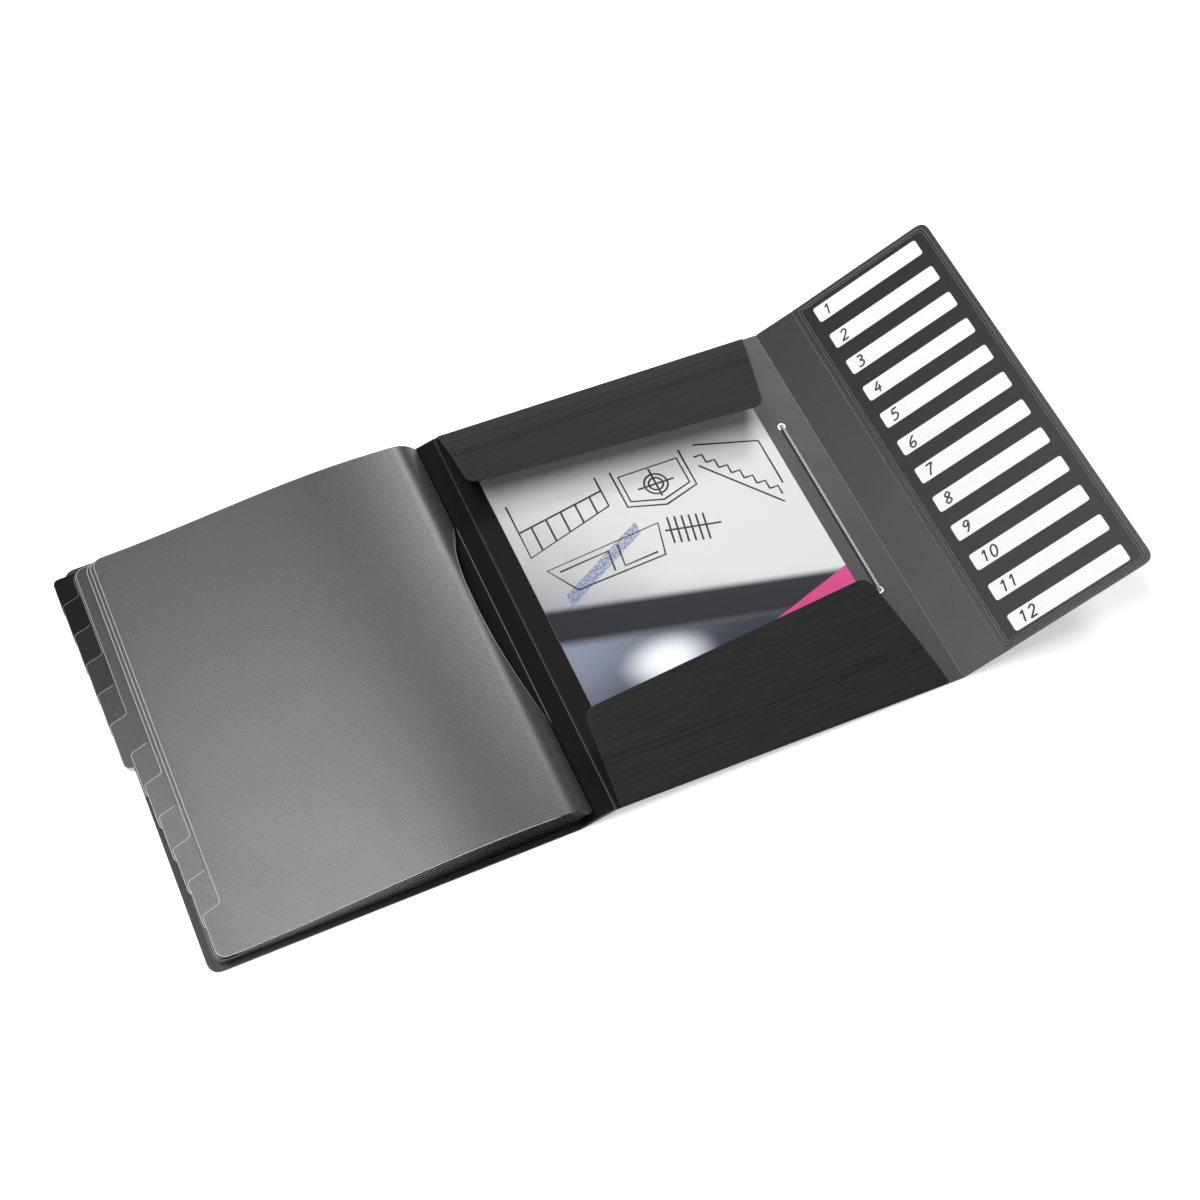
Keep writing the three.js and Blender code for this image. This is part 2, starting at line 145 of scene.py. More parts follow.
class ShaderGraph:
    """Node tree of one material around a Principled surface."""

    def __init__(self, name: str, roughness: float, gloss: float, metallic: float) -> None:
        """Starts a material whose constants stand on the surface's own sockets.

        Args:
            name: Name of the material.
            roughness: Roughness of the surface.
            gloss: Specular level of the surface.
            metallic: Share of metal.
        """
        self.material = bpy.data.materials.new(name)
        self.material.use_nodes = True
        self.tree = self.material.node_tree
        self.tree.nodes.clear()
        self.surface = self.node("ShaderNodeBsdfPrincipled", {})
        output = self.node("ShaderNodeOutputMaterial", {})
        self.tree.links.new(self.surface.outputs["BSDF"], output.inputs["Surface"])
        self.set(Roughness=roughness, Specular_IOR_Level=gloss, Metallic=metallic)

    def node(self, kind: str, inputs: dict[Any, Any], **settings: Any) -> bpy.types.Node:
        """Adds a node.

        Args:
            kind: The node's type.
            inputs: Values or constants by socket name or index.
            settings: The node's settings.

        Returns:
            The node.
        """
        node = self.tree.nodes.new(kind)
        for name, setting in settings.items():
            setattr(node, name, setting)
        for key, value in inputs.items():
            self._feed(node.inputs[key], value)
        return node

    def value(self, kind: str, output: str | int, inputs: dict[Any, Any], **settings: Any) -> Value:
        """Returns one output of a new node."""
        return Value(self, self.node(kind, inputs, **settings).outputs[output])

    def calculated(self, operation: Operation, *operands: Value | float) -> Value:
        """Returns the result of a Math node."""
        inputs = dict(enumerate(operands))
        return self.value("ShaderNodeMath", "Value", inputs, operation=operation.value)

    def _feed(self, socket: bpy.types.NodeSocket, value: Any) -> None:
        """Links a value to a socket, or sets a constant on it.

        Args:
            socket: An input socket.
            value: A value or a constant.
        """
        if isinstance(value, Value):
            self.tree.links.new(value.socket, socket)
        elif socket.type == "RGBA":
            socket.default_value = (*value, 1.0)
        else:
            socket.default_value = value

    def set(self, **inputs: Any) -> None:
        """Feeds the surface's sockets, with a low line in a name for each space."""
        for name, value in inputs.items():
            self._feed(self.surface.inputs[name.replace("_", " ")], value)

    def coordinates(self, output: str = "Object") -> Value:
        """Returns an output of the texture coordinates."""
        return self.value("ShaderNodeTexCoord", output, {})

    def axes(self, vector: Value) -> tuple[Value, ...]:
        """Returns the three parts of a vector."""
        parts = self.node("ShaderNodeSeparateXYZ", {0: vector}).outputs
        return tuple(Value(self, part) for part in parts)

    def noise(self, vector: Value, scale: float, detail: float = 2.0) -> Value:
        """Returns noise from 0 to 1 of the given scale, in features a metre."""
        inputs = {"Vector": vector, "Scale": scale, "Detail": detail, "Roughness": NOISE_ROUGHNESS}
        return self.value("ShaderNodeTexNoise", "Fac", inputs)

    def mix(self, share: Value, first: Colour | Value, second: Colour | Value) -> Value:
        """Returns a colour that goes from the first to the second by a share."""
        return self.value("ShaderNodeMix", 2, {0: share, 6: first, 7: second}, data_type="RGBA")

    def shades(self, share: Value, level: float, tones: Point, tint: Colour = WARM_GREY) -> Value:
        """Returns a grey that goes from one tone of a level to another by a share."""
        return self.mix(share, grey(level * tones[0], tint), grey(level * tones[1], tint))

    def bump(self, height: Value, distance: float) -> None:
        """Gives the surface a relief of the given height in metres."""
        inputs = {"Height": height, "Distance": distance, "Strength": 1.0}
        self.set(Normal=self.value("ShaderNodeBump", "Normal", inputs))


@dataclass(frozen=True)
class PanelPlane:
    """Plane of one panel: along it from its fold, up the page and off its inner face."""

    body: str
    x: float
    z: float
    fall: float

    def place(self, along: float, up: float, off: float) -> Vector:
        """Returns a point of the panel.

        Args:
            along: Distance from the fold in millimetres.
            up: Distance up the page from its middle in millimetres.
            off: Height over the panel's inner face in millimetres.

        Returns:
            The point in metres.
        """
        cosine, sine = math.cos(self.fall), math.sin(self.fall)
        x = self.x + (along * cosine + off * sine) * MM
        z = self.z + (off * cosine - along * sine) * MM
        return Vector((x, up * MM, z))

    def normal(self) -> Vector:
        """Returns the direction off the panel's inner face."""
        return Vector((math.sin(self.fall), 0.0, math.cos(self.fall)))

    def pattern(self, graph: ShaderGraph) -> Value:
        """Returns the panel's own coordinates in metres for a material.

        Args:
            graph: The graph of the material.

        Returns:
            The coordinates from the panel's fold.
        """
        inputs = {
            "Vector": graph.coordinates(),
            "Location": (self.x, 0.0, self.z),
            "Rotation": (0.0, self.fall, 0.0),
        }
        return graph.value("ShaderNodeMapping", "Vector", inputs, vector_type="TEXTURE")


def joint_place(name: str) -> Vector:
    """Returns where a joint of the folder lies at rest."""
    joint = next(joint for joint in frame["joints"] if joint["name"] == name)
    return Vector(joint["pos_m"])


def panel_plane(body: str, start: str, end: str = "", rise: float = 0.0) -> PanelPlane:
    """Lays a panel's plane on the folder's joints.

    Args:
        body: The panel's body.
        start: The joint at its fold.
        end: The joint at its far side, if there is one.
        rise: The panel's rise in degrees if there is none.

    Returns:
        The plane.
    """
    place = joint_place(start)
    fall = -math.radians(rise)
    if end:
        run = joint_place(end) - place
        fall = -math.atan2(run.z, run.x)
    return PanelPlane(body, place.x, place.z, fall)


@dataclass(frozen=True)
class FolderPlanes:
    """Planes of the five panels. Distances along the cover are negative."""

    back: PanelPlane = panel_plane("back", "spine_fold", "gusset_fold")
    spine: PanelPlane = panel_plane("spine", "cover_fold", "spine_fold")
    cover: PanelPlane = panel_plane("cover", "cover_fold")
    gusset: PanelPlane = panel_plane("gusset", "gusset_fold", "closing_flap_fold")
    flap: PanelPlane = panel_plane("flap", "closing_flap_fold", rise=28.5)


PLANES = FolderPlanes()


class Finish:
    """Procedural finish that paints the surface of a material of its own."""

    name: str
    roughness: float = 0.5
    gloss: float = 0.5
    metallic: float = 0.0

    def paint(self, graph: ShaderGraph) -> None:
        """Feeds the sockets of the surface."""
        raise NotImplementedError

    def material(self) -> bpy.types.Material:
        """Returns the finish as a material.

        Returns:
            The material.
        """
        graph = ShaderGraph(self.name, self.roughness, self.gloss, self.metallic)
        self.paint(graph)
        return graph.material


@dataclass(frozen=True)
class GrainedPlastic(Finish):
    """Polypropylene sheet with a fine matt grain and a painted highlight on its cut edges."""

    name: str
    level: float
    roughness: float = 0.5
    grain: float = 820.0
    cloud: float = 22.0
    relief: float = 0.00006
    edge_level: float = 0.0
    edge_axis: tuple[float, float, float] = (0.0, 0.0, 1.0)
    tint: Colour = WARM_GREY
    gloss: float = 0.5
    lined_until: float = 0.0
    lined_fade: float = 0.0002
    lining_level: float = 0.008
    cloud_tones: Point = (0.93, 1.07)
    cloud_roughness: float = 0.08
    speck_span: Point = (0.35, 0.7)
    speck_tone: float = 1.16
    speck_roughness: float = 0.1
    cut_span: Point = (0.75, 0.5)

    def paint(self, graph: ShaderGraph) -> None:
        """Paints the clouded, grained sheet, a painted highlight on its cut edges and its lined strip.

        Args:
            graph: The graph of the finish.
        """
        place = graph.coordinates()
        fine = graph.noise(place, self.grain)
        cloud = graph.noise(place, self.cloud, 3.0)
        tone = graph.shades(cloud, self.level, self.cloud_tones, self.tint)
        speck = grey(self.level * self.speck_tone, self.tint)
        colour = graph.mix(fine.between(*self.speck_span), tone, speck)
        # Faces that stand across the sheet, its cut edges, get a painted highlight.
        if self.edge_level:
            inputs = {0: graph.coordinates("Normal"), 1: self.edge_axis}
            facing = graph.value("ShaderNodeVectorMath", "Value", inputs, operation="DOT_PRODUCT")
            cut = facing.math(Operation.ABSOLUTE).between(*self.cut_span)
            colour = graph.mix(cut, colour, grey(self.edge_level, self.tint))
        if self.lined_until:
            along, _, _ = graph.axes(PLANES.back.pattern(graph))
            lined = along.between(self.lined_until + self.lined_fade, self.lined_until)
            colour = graph.mix(lined, colour, grey(self.lining_level))
        uneven = (cloud - 0.5) * self.cloud_roughness + (fine - 0.5) * self.speck_roughness
        graph.set(Base_Color=colour, Roughness=self.roughness + uneven)
        graph.bump(fine, self.relief)


@dataclass(frozen=True)
class BoundLining(Finish):
    """Black lining of the spine, with a painted highlight along the crest of the welded line of the
    dividers.
    """

    name: str
    level: float
    line_level: float
    line_along: float = 0.01378
    line_half_width: float = 0.0005
    line_core: float = 0.4
    line_reach: float = 0.08
    line_fade: float = 0.006
    rubbed: float = 0.5
    tones: Point = (0.8, 1.2)
    roughness: float = 0.6
    gloss: float = 0.03

    def paint(self, graph: ShaderGraph) -> None:
        """Paints the black sheet and the painted highlight line on it.

        Args:
            graph: The graph of the finish.
        """
        place = PLANES.spine.pattern(graph)
        along, up, _ = graph.axes(place)
        fine = graph.noise(place, FINE_GRAIN)
        # The pale line is a painted highlight on the crest of the welded ridge, broken up by the grain.
        offset = (along - self.line_along).math(Operation.ABSOLUTE)
        line = offset.between(self.line_half_width, self.line_half_width * self.line_core)
        line = line * up.inside(-self.line_reach, self.line_reach, self.line_fade)
        line = line * (self.rubbed + fine * (1 - self.rubbed))
        black = graph.shades(fine, self.level, self.tones)
        graph.set(Base_Color=graph.mix(line, black, grey(self.line_level)))
        graph.bump(fine, FINE_RELIEF)


@dataclass(frozen=True)
class SheetEdge(Finish):
    """Cut edge and rim of a divider: a painted highlight where it is free and painted shade near the
    binding.
    """

    name: str
    level: float
    dark_level: float
    notch_level: float
    pale_until: float
    dark_from: float
    notch_reach: float = 0.078
    notch_fade: float = 0.006
    cut_grain: float = 900.0
    cut_tones: Point = (0.75, 1.2)
    roughness: float = 0.4

    def paint(self, graph: ShaderGraph) -> None:
        """Paints the edge's painted highlight, its painted shade near the binding and the edge of the
        notch.

        Args:
            graph: The graph of the finish.
        """
        place = graph.coordinates()
        x, y, _ = graph.axes(place)
        cut = graph.noise(place, self.cut_grain)
        # The pale tone is a painted highlight and the dark tone painted shade; the notch tone is a painted
        # highlight on the top sheet and painted shade on the rest.
        pale = graph.shades(cut, self.level, self.cut_tones, EDGE_GREY)
        notch = y.inside(-self.notch_reach, self.notch_reach, self.notch_fade)
        dark = graph.mix(notch, grey(self.dark_level), grey(self.notch_level))
        graph.set(Base_Color=graph.mix(x.between(self.pale_until, self.dark_from), pale, dark))
        graph.bump(cut, FINE_RELIEF)


@dataclass(frozen=True)
class RibbedPlastic(Finish):
    """Near-black satin sheet of the pocket flaps, with the sheen of drawn ribs."""

    name: str
    level: float
    tint: Colour = (0.93, 1.0, 0.98)
    gloss: float = 0.16
    roughness: float = 0.46
    stretch: tuple[float, float, float] = (0.06, 1.0, 1.0)
    mark_grain: float = 420.0
    mark_span: Point = (0.3, 0.7)
    mark_tones: Point = (0.88, 1.15)
    mark_roughness: Point = (0.42, 0.1)
    skin_grain: float = 1900.0

    def paint(self, graph: ShaderGraph) -> None:
        """Paints fine marks that are drawn out along the ribs.

        Args:
            graph: The graph of the finish.
        """
        place = graph.coordinates()
        inputs = {"Vector": place, "Scale": self.stretch}
        along = graph.value("ShaderNodeMapping", "Vector", inputs, vector_type="POINT")
        drawn = graph.noise(along, self.mark_grain)
        least, rise = self.mark_roughness
        colour = graph.shades(drawn.between(*self.mark_span), self.level, self.mark_tones, self.tint)
        graph.set(Base_Color=colour, Roughness=least + drawn * rise)
        graph.bump(graph.noise(place, self.skin_grain), FAINT_RELIEF)


@dataclass(frozen=True)
class CreasedPlastic(Finish):
    """Scored fold strip: the sheet's grain with a stress-whitened line along the crease."""

    name: str
    level: float
    line_level: float
    line_half_width: float = 0.09
    line_core: float = 0.3
    rubbed: float = 0.6
    tones: Point = (0.88, 1.12)
    gloss: float = 0.4
    roughness: float = 0.42

    def paint(self, graph: ShaderGraph) -> None:
        """Paints the strip and the line along its middle.

        Args:
            graph: The graph of the finish.
        """
        across, _, _ = graph.axes(graph.coordinates("UV"))
        fine = graph.noise(graph.coordinates(), FINE_GRAIN)
        offset = (across - 0.5).math(Operation.ABSOLUTE)
        line = offset.between(self.line_half_width, self.line_half_width * self.line_core)
        line = line * (self.rubbed + fine * (1 - self.rubbed))
        sheet = graph.shades(fine, self.level, self.tones)
        graph.set(Base_Color=graph.mix(line, sheet, grey(self.line_level)))
        graph.bump(fine, FINE_RELIEF)


@dataclass(frozen=True)
class Paper(Finish):
    """Uncoated paper of the labels."""

    name: str
    level: float = 0.8
    roughness: float = 0.7
    fibre_grain: float = 1400.0
    fibre_span: Point = (0.4, 0.9)
    fibre_tone: float = 0.93
    cloud: float = 60.0
    cloud_tones: Point = (0.97, 1.03)

    def paint(self, graph: ShaderGraph) -> None:
        """Paints clouded paper with darker fibres.

        Args:
            graph: The graph of the finish.
        """
        place = graph.coordinates()
        fibre = graph.noise(place, self.fibre_grain, 4.0)
        shade = graph.shades(graph.noise(place, self.cloud), self.level, self.cloud_tones, WHITE)
        fibre_grey = grey(self.level * self.fibre_tone, WHITE)
        graph.set(Base_Color=graph.mix(fibre.between(*self.fibre_span), shade, fibre_grey))
        graph.bump(fibre, FAINT_RELIEF)


@dataclass(frozen=True)
class PenInk(Finish):
    """Black felt-pen ink."""

    name: str = "pen_ink"
    roughness: float = 0.55
    bleed: float = 700.0
    full: Colour = (0.006, 0.006, 0.007)
    thin: Colour = (0.02, 0.02, 0.022)

    def paint(self, graph: ShaderGraph) -> None:
        """Paints ink that is thinner in places."""
        bleed = graph.noise(graph.coordinates(), self.bleed)
        graph.set(Base_Color=graph.mix(bleed, self.full, self.thin))


@dataclass(frozen=True)
class BraidedElastic(Finish):
    """Round elastic cord under a two-tone braid, laid along Y."""

    name: str
    centre: Point
    lay: float = 1250.0
    strands: float = 3.0
    fibre_grain: float = 5200.0
    relief: float = 0.00012
    braid_relief: float = 0.8
    strand_span: Point = (-0.6, 0.6)
    pale_levels: Point = (0.42, 0.66)
    dark_levels: Point = (0.18, 0.3)
    roughness: float = 0.75

    def paint(self, graph: ShaderGraph) -> None:
        """Paints the crossing strands round the cord.

        Args:
            graph: The graph of the finish.
        """
        place = graph.coordinates()
        x, y, z = graph.axes(place)
        turn = (z - self.centre[1]).math(Operation.ANGLE, x - self.centre[0]) * self.strands
        left = (y * self.lay + turn).math(Operation.SINE)
        right = (y * self.lay - turn).math(Operation.SINE)
        braid = (left * right).between(*self.strand_span)
        fibre = graph.noise(place, self.fibre_grain)
        dark, pale = (graph.shades(fibre, 1.0, levels) for levels in (self.dark_levels, self.pale_levels))
        graph.set(Base_Color=graph.mix(braid, dark, pale))
        graph.bump(braid * self.braid_relief + fibre * (1 - self.braid_relief), self.relief)


@dataclass(frozen=True)
class EyeletMetal(Finish):
    """Bright nickel of the eyelets, with faint turning marks."""

    name: str = "eyelet_nickel"
    roughness: float = 0.3
    metallic: float = 1.0
    mark_grain: float = 2600.0
    mark_roughness: Point = (0.26, 0.16)
    relief: float = 0.00001
    dull: Colour = (0.3, 0.295, 0.29)
    bright: Colour = (0.46, 0.455, 0.45)

    def paint(self, graph: ShaderGraph) -> None:
        """Paints the turning marks.

        Args:
            graph: The graph of the finish.
        """
        marks = graph.noise(graph.coordinates(), self.mark_grain)
        least, rise = self.mark_roughness
        graph.set(Base_Color=graph.mix(marks, self.dull, self.bright), Roughness=least + marks * rise)
        graph.bump(marks, self.relief)


@dataclass(frozen=True)
class PrintedCover(Finish):
    """Glossy cover of the brochure: pale paper over dark blue-grey bands and a pink wedge."""

    name: str = "printed_cover"
    roughness: float = 0.34
    gloss: float = 0.1
    top: float = 0.0018
    relief: float = 0.00001
    paper_dark: Colour = (0.27, 0.275, 0.285)
    paper_pale: Colour = (0.62, 0.625, 0.62)
    veil: Colour = (0.22, 0.235, 0.29)
    hatching: Colour = (0.13, 0.17, 0.32)
    steel_pale: Colour = (0.20, 0.225, 0.29)
    steel_deep: Colour = (0.028, 0.034, 0.052)
    glow: Colour = (0.86, 0.89, 0.96)
    glow_place: Point = (0.078, -0.072)
    band: Colour = (0.014, 0.016, 0.023)
    wedge: Colour = (0.58, 0.055, 0.225)
    page_pitch: float = 26000.0
    page_levels: Point = (0.32, 0.62)
    face_depths: Point = (0.00012, 0.00006)
    fibre_grain: float = 1700.0

    def printed(self, graph: ShaderGraph, place: Value) -> Value:
        """Returns the print of the cover.

        Args:
            graph: The graph of the finish.
            place: The panel's own coordinates.

        Returns:
            The colour of the print.
        """
        u, y, _ = graph.axes(place)
        cloud = graph.noise(place, 14.0, 3.0)
        # Pale paper, darker towards the spine and the upper flap.
        light = (u * 2.2 + y + cloud * 0.2).between(-0.02, 0.42)
        colour = graph.mix(light, self.paper_dark, self.paper_pale)
        colour = graph.mix((u * 0.35 + y).between(0.03, -0.01) * 0.6, colour, self.veil)
        # A tinted strip of fine hatching crosses the paper on the left.
        strip = (y - u * 0.55).inside(-0.0275, -0.0185, 0.001) * u.inside(0.035, 0.103, 0.001)
        hatch = graph.noise(place, 520.0, 3.0).between(0.4, 0.62)
        colour = graph.mix(strip * (0.35 + hatch * 0.6), colour, self.hatching)
        # A soft dark band falls to the right over a steel-blue field with a white glow.
        fall = y + u * 0.22
        right, up = u - self.glow_place[0], y - self.glow_place[1]
        spread = (right * right + up * up * 2.6).math(Operation.ROOT)
        steel = graph.mix((u * 0.5 - y).between(0.05, 0.14), self.steel_pale, self.steel_deep)
        steel = graph.mix(spread.between(0.04, 0.006), steel, self.glow)
        colour = graph.mix(fall.between(-0.022, -0.034), colour, steel)
        band = fall.between(0.001, -0.006) * fall.between(-0.036, -0.026)
        colour = graph.mix(band, colour, self.band)
        return graph.mix((y - u * 0.33).between(-0.1232, -0.1238), colour, self.wedge)

    def paint(self, graph: ShaderGraph) -> None:
        """Paints the print on the face and fine layers on the cut page edges.

        Args:
            graph: The graph of the finish.
        """
        place = PLANES.back.pattern(graph)
        _, _, off = graph.axes(place)
        fibre = graph.noise(place, self.fibre_grain)
        layers = (off * self.page_pitch).math(Operation.SINE).between(-0.4, 0.6)
        pages = graph.shades(layers, 1.0, self.page_levels, WHITE)
        face = off.between(*(self.top - depth for depth in self.face_depths))
        colour = graph.mix(face, pages, self.printed(graph, place))
        graph.set(Base_Color=colour, Roughness=0.3 + (1 - face) * 0.4 + fibre * 0.08)
        graph.bump(fibre, self.relief)


@dataclass(frozen=True)
class StudioFloor(Finish):
    """Plain pale floor of the studio."""

    name: str = "studio_floor"
    roughness: float = 0.9
    gloss: float = 0.1
    colour: Colour = (0.94, 0.94, 0.94)
    glow: float = 0.42

    def paint(self, graph: ShaderGraph) -> None:
        """Paints the floor, which also gives off a little light."""
        graph.set(Base_Color=self.colour, Emission_Color=WHITE, Emission_Strength=self.glow)


@lru_cache(maxsize=None)
def material_of(finish: Finish) -> bpy.types.Material:
    """Returns the one material of a finish."""
    return finish.material()


LINING_FINISH = GrainedPlastic("lining_black", 0.009, roughness=0.55, tint=WHITE, gloss=0.05)
INDEX_FINISH = GrainedPlastic("index_grey", 0.012, roughness=0.42, edge_level=0.16, gloss=0.22)
RIBBED_FINISH = RibbedPlastic("ribbed_black", 0.0185)
LABEL_FINISH = Paper("label_paper")
POCKET_HINGE = 159.15


def select_only(piece: bpy.types.Object | None) -> None:
    """Deselects everything, then selects and activates one piece if there is one.

    Args:
        piece: The piece, or None to leave nothing selected.
    """
    for each in bpy.context.selected_objects:
        each.select_set(False)
    bpy.context.view_layer.objects.active = piece
    if piece is not None:
        piece.select_set(True)


def shaped_grid(name: str, columns: int, rows: int, point: Place) -> bpy.types.Object:
    """Adds a grid and lays each of its corners where a rule says.

    Args:
        name: Name of the piece.
        columns: Faces across.
        rows: Faces up the page.
        point: The place of a corner, from its shares across and up.

    Returns:
        The laid grid.
    """
    select_only(None)
    bpy.ops.mesh.primitive_grid_add(x_subdivisions=columns, y_subdivisions=rows, size=2)
    piece = bpy.context.object
    piece.name = name
    piece.data.name = name
    for vertex in piece.data.vertices:
        across = round((vertex.co.x + 1) / 2 * columns) / columns
        up = round((vertex.co.y + 1) / 2 * rows) / rows
        vertex.co = point(across, up)
    piece.data.update()
    return piece


def add_modifier(piece: bpy.types.Object, kind: str, **settings: Any) -> None:
    """Adds a modifier to a piece, sets it and applies it.

    Args:
        piece: The piece.
        kind: The modifier's type.
        settings: Its settings.
    """
    select_only(piece)
    bpy.ops.object.modifier_add(type=kind)
    modifier = piece.modifiers[-1]
    for name, setting in settings.items():
        setattr(modifier, name, setting)
    bpy.ops.object.modifier_apply(modifier=modifier.name)


def smooth(piece: bpy.types.Object, degrees: float = 40.0) -> None:
    """Shades a piece smooth except across edges sharper than an angle."""
    select_only(piece)
    bpy.ops.object.shade_smooth_by_angle(angle=math.radians(degrees))


def give_rim(piece: bpy.types.Object, width: float, slot: int) -> None:
    """Insets an open sheet's faces and gives the border that this leaves a material slot.

    Args:
        piece: The sheet.
        width: Width of the border in metres.
        slot: The border's material slot.
    """
    select_only(piece)
    bpy.ops.object.mode_set(mode="EDIT")
    bpy.ops.mesh.select_mode(type="FACE")
    bpy.ops.mesh.select_all(action="SELECT")
    bpy.ops.mesh.inset(thickness=width, use_boundary=True)
    bpy.ops.mesh.select_all(action="INVERT")
    piece.active_material_index = slot
    bpy.ops.object.material_slot_assign()
    bpy.ops.object.mode_set(mode="OBJECT")


def cut_to_outline(
    piece: bpy.types.Object, outline: Sequence[Vector], low: float, high: float
) -> None:
    """Keeps the part of a closed piece that lies inside an upright prism.

    Args:
        piece: The piece.
        outline: Corners of the prism's plan, anticlockwise from above.
        low: Height of its floor in metres.
        high: Height of its top in metres.
    """
    select_only(None)
    bpy.ops.mesh.primitive_circle_add(vertices=len(outline), radius=1.0, fill_type="NGON")
    prism = bpy.context.object
    for vertex, corner in zip(prism.data.vertices, outline):
        vertex.co = (corner.x, corner.y, low)
    bpy.ops.object.mode_set(mode="EDIT")
    bpy.ops.mesh.select_all(action="SELECT")
    bpy.ops.mesh.extrude_region_move(TRANSFORM_OT_translate={"value": (0.0, 0.0, high - low)})
    bpy.ops.mesh.select_all(action="SELECT")
    bpy.ops.mesh.normals_make_consistent(inside=False)
    bpy.ops.object.mode_set(mode="OBJECT")
    add_modifier(piece, "BOOLEAN", operation="INTERSECT", solver="EXACT", object=prism)
    select_only(prism)
    bpy.ops.object.delete()


def flatten(piece: bpy.types.Object, plane: PanelPlane, off: float, keep: float) -> None:
    """Squeezes a piece towards a height over a panel.

    Args:
        piece: The piece.
        plane: The panel's plane.
        off: The height in millimetres.
        keep: Share of its thickness that it keeps.
    """
    origin, normal = plane.place(0.0, 0.0, off), plane.normal()
    for vertex in piece.data.vertices:
        vertex.co -= normal * ((vertex.co - origin).dot(normal) * (1 - keep))


def dress(piece: bpy.types.Object, *finishes: Finish) -> None:
    """Gives a new piece its materials, in the order of its slots.

    Args:
        piece: The piece.
        finishes: The finish of each slot.
    """
    piece.data.materials.clear()
    for finish in finishes:
        piece.data.materials.append(material_of(finish))


def dress_node(name: str, finish: Finish) -> None:
    """Gives a solid piece its material.

    Args:
        name: The piece's name.
        finish: Its finish.
    """
    for each in frame["nodes"][name].material_slots:
        each.material = material_of(finish)
    log.info("dressed %s with %s", name, finish.name)


def written_lines(text: str, unit: float = 1.0) -> list[list[Point]]:
    """Reads flat lines from their written places.

    Args:
        text: Places across and up, with a slash between the lines.
        unit: The number that stands for one unit of length.

    Returns:
        The points of each line.
    """
    lines = []
    for line in text.split(" / "):
        places = (place.split(",") for place in line.split())
        lines.append([(float(u) / unit, float(v) / unit) for u, v in places])
    return lines


def rounded_line(points: Sequence[Point], steps: int = 5) -> list[Point]:
    """Rounds a line through flat points.

    Args:
        points: The points that the line goes through.
        steps: Steps of the line between each two of them.

    Returns:
        The points of the rounded line.
    """
    line, last = [points[0]], len(points) - 1
    for k in range(last):
        corners = (points[max(0, k - 1)], points[k], points[k + 1], points[min(last, k + 2)])
        for i in range(1, steps + 1):
            line.append(
                tuple(
                    eased(i / steps, start, (end - before) / 2, end, (after - start) / 2)
                    for before, start, end, after in zip(*corners)
                )
            )
    return line


def traced_tubes(name: str, lines: Sequence[Line], radius: float, sides: int) -> bpy.types.Object:
    """Makes one mesh of thin tubes that follow lines.

    Args:
        name: Name of the piece.
        lines: Points of each line, and whether it closes on itself.
        radius: Radius of the tubes in metres.
        sides: Bevel resolution of the tubes.

    Returns:
        The mesh piece.
    """
    select_only(None)
    curve = bpy.data.curves.new(name, "CURVE")
    curve.dimensions = "3D"
    curve.bevel_depth = radius
    curve.bevel_resolution = sides
    curve.use_fill_caps = True
    for points, closed in lines:
        spline = curve.splines.new("POLY")
        spline.points.add(len(points) - 1)
        for target, point in zip(spline.points, points):
            target.co = (*point, 1.0)
        spline.use_cyclic_u = closed
    piece = bpy.data.objects.new(name, curve)
    bpy.context.scene.collection.objects.link(piece)
    select_only(piece)
    bpy.ops.object.convert(target="MESH")
    return bpy.context.object


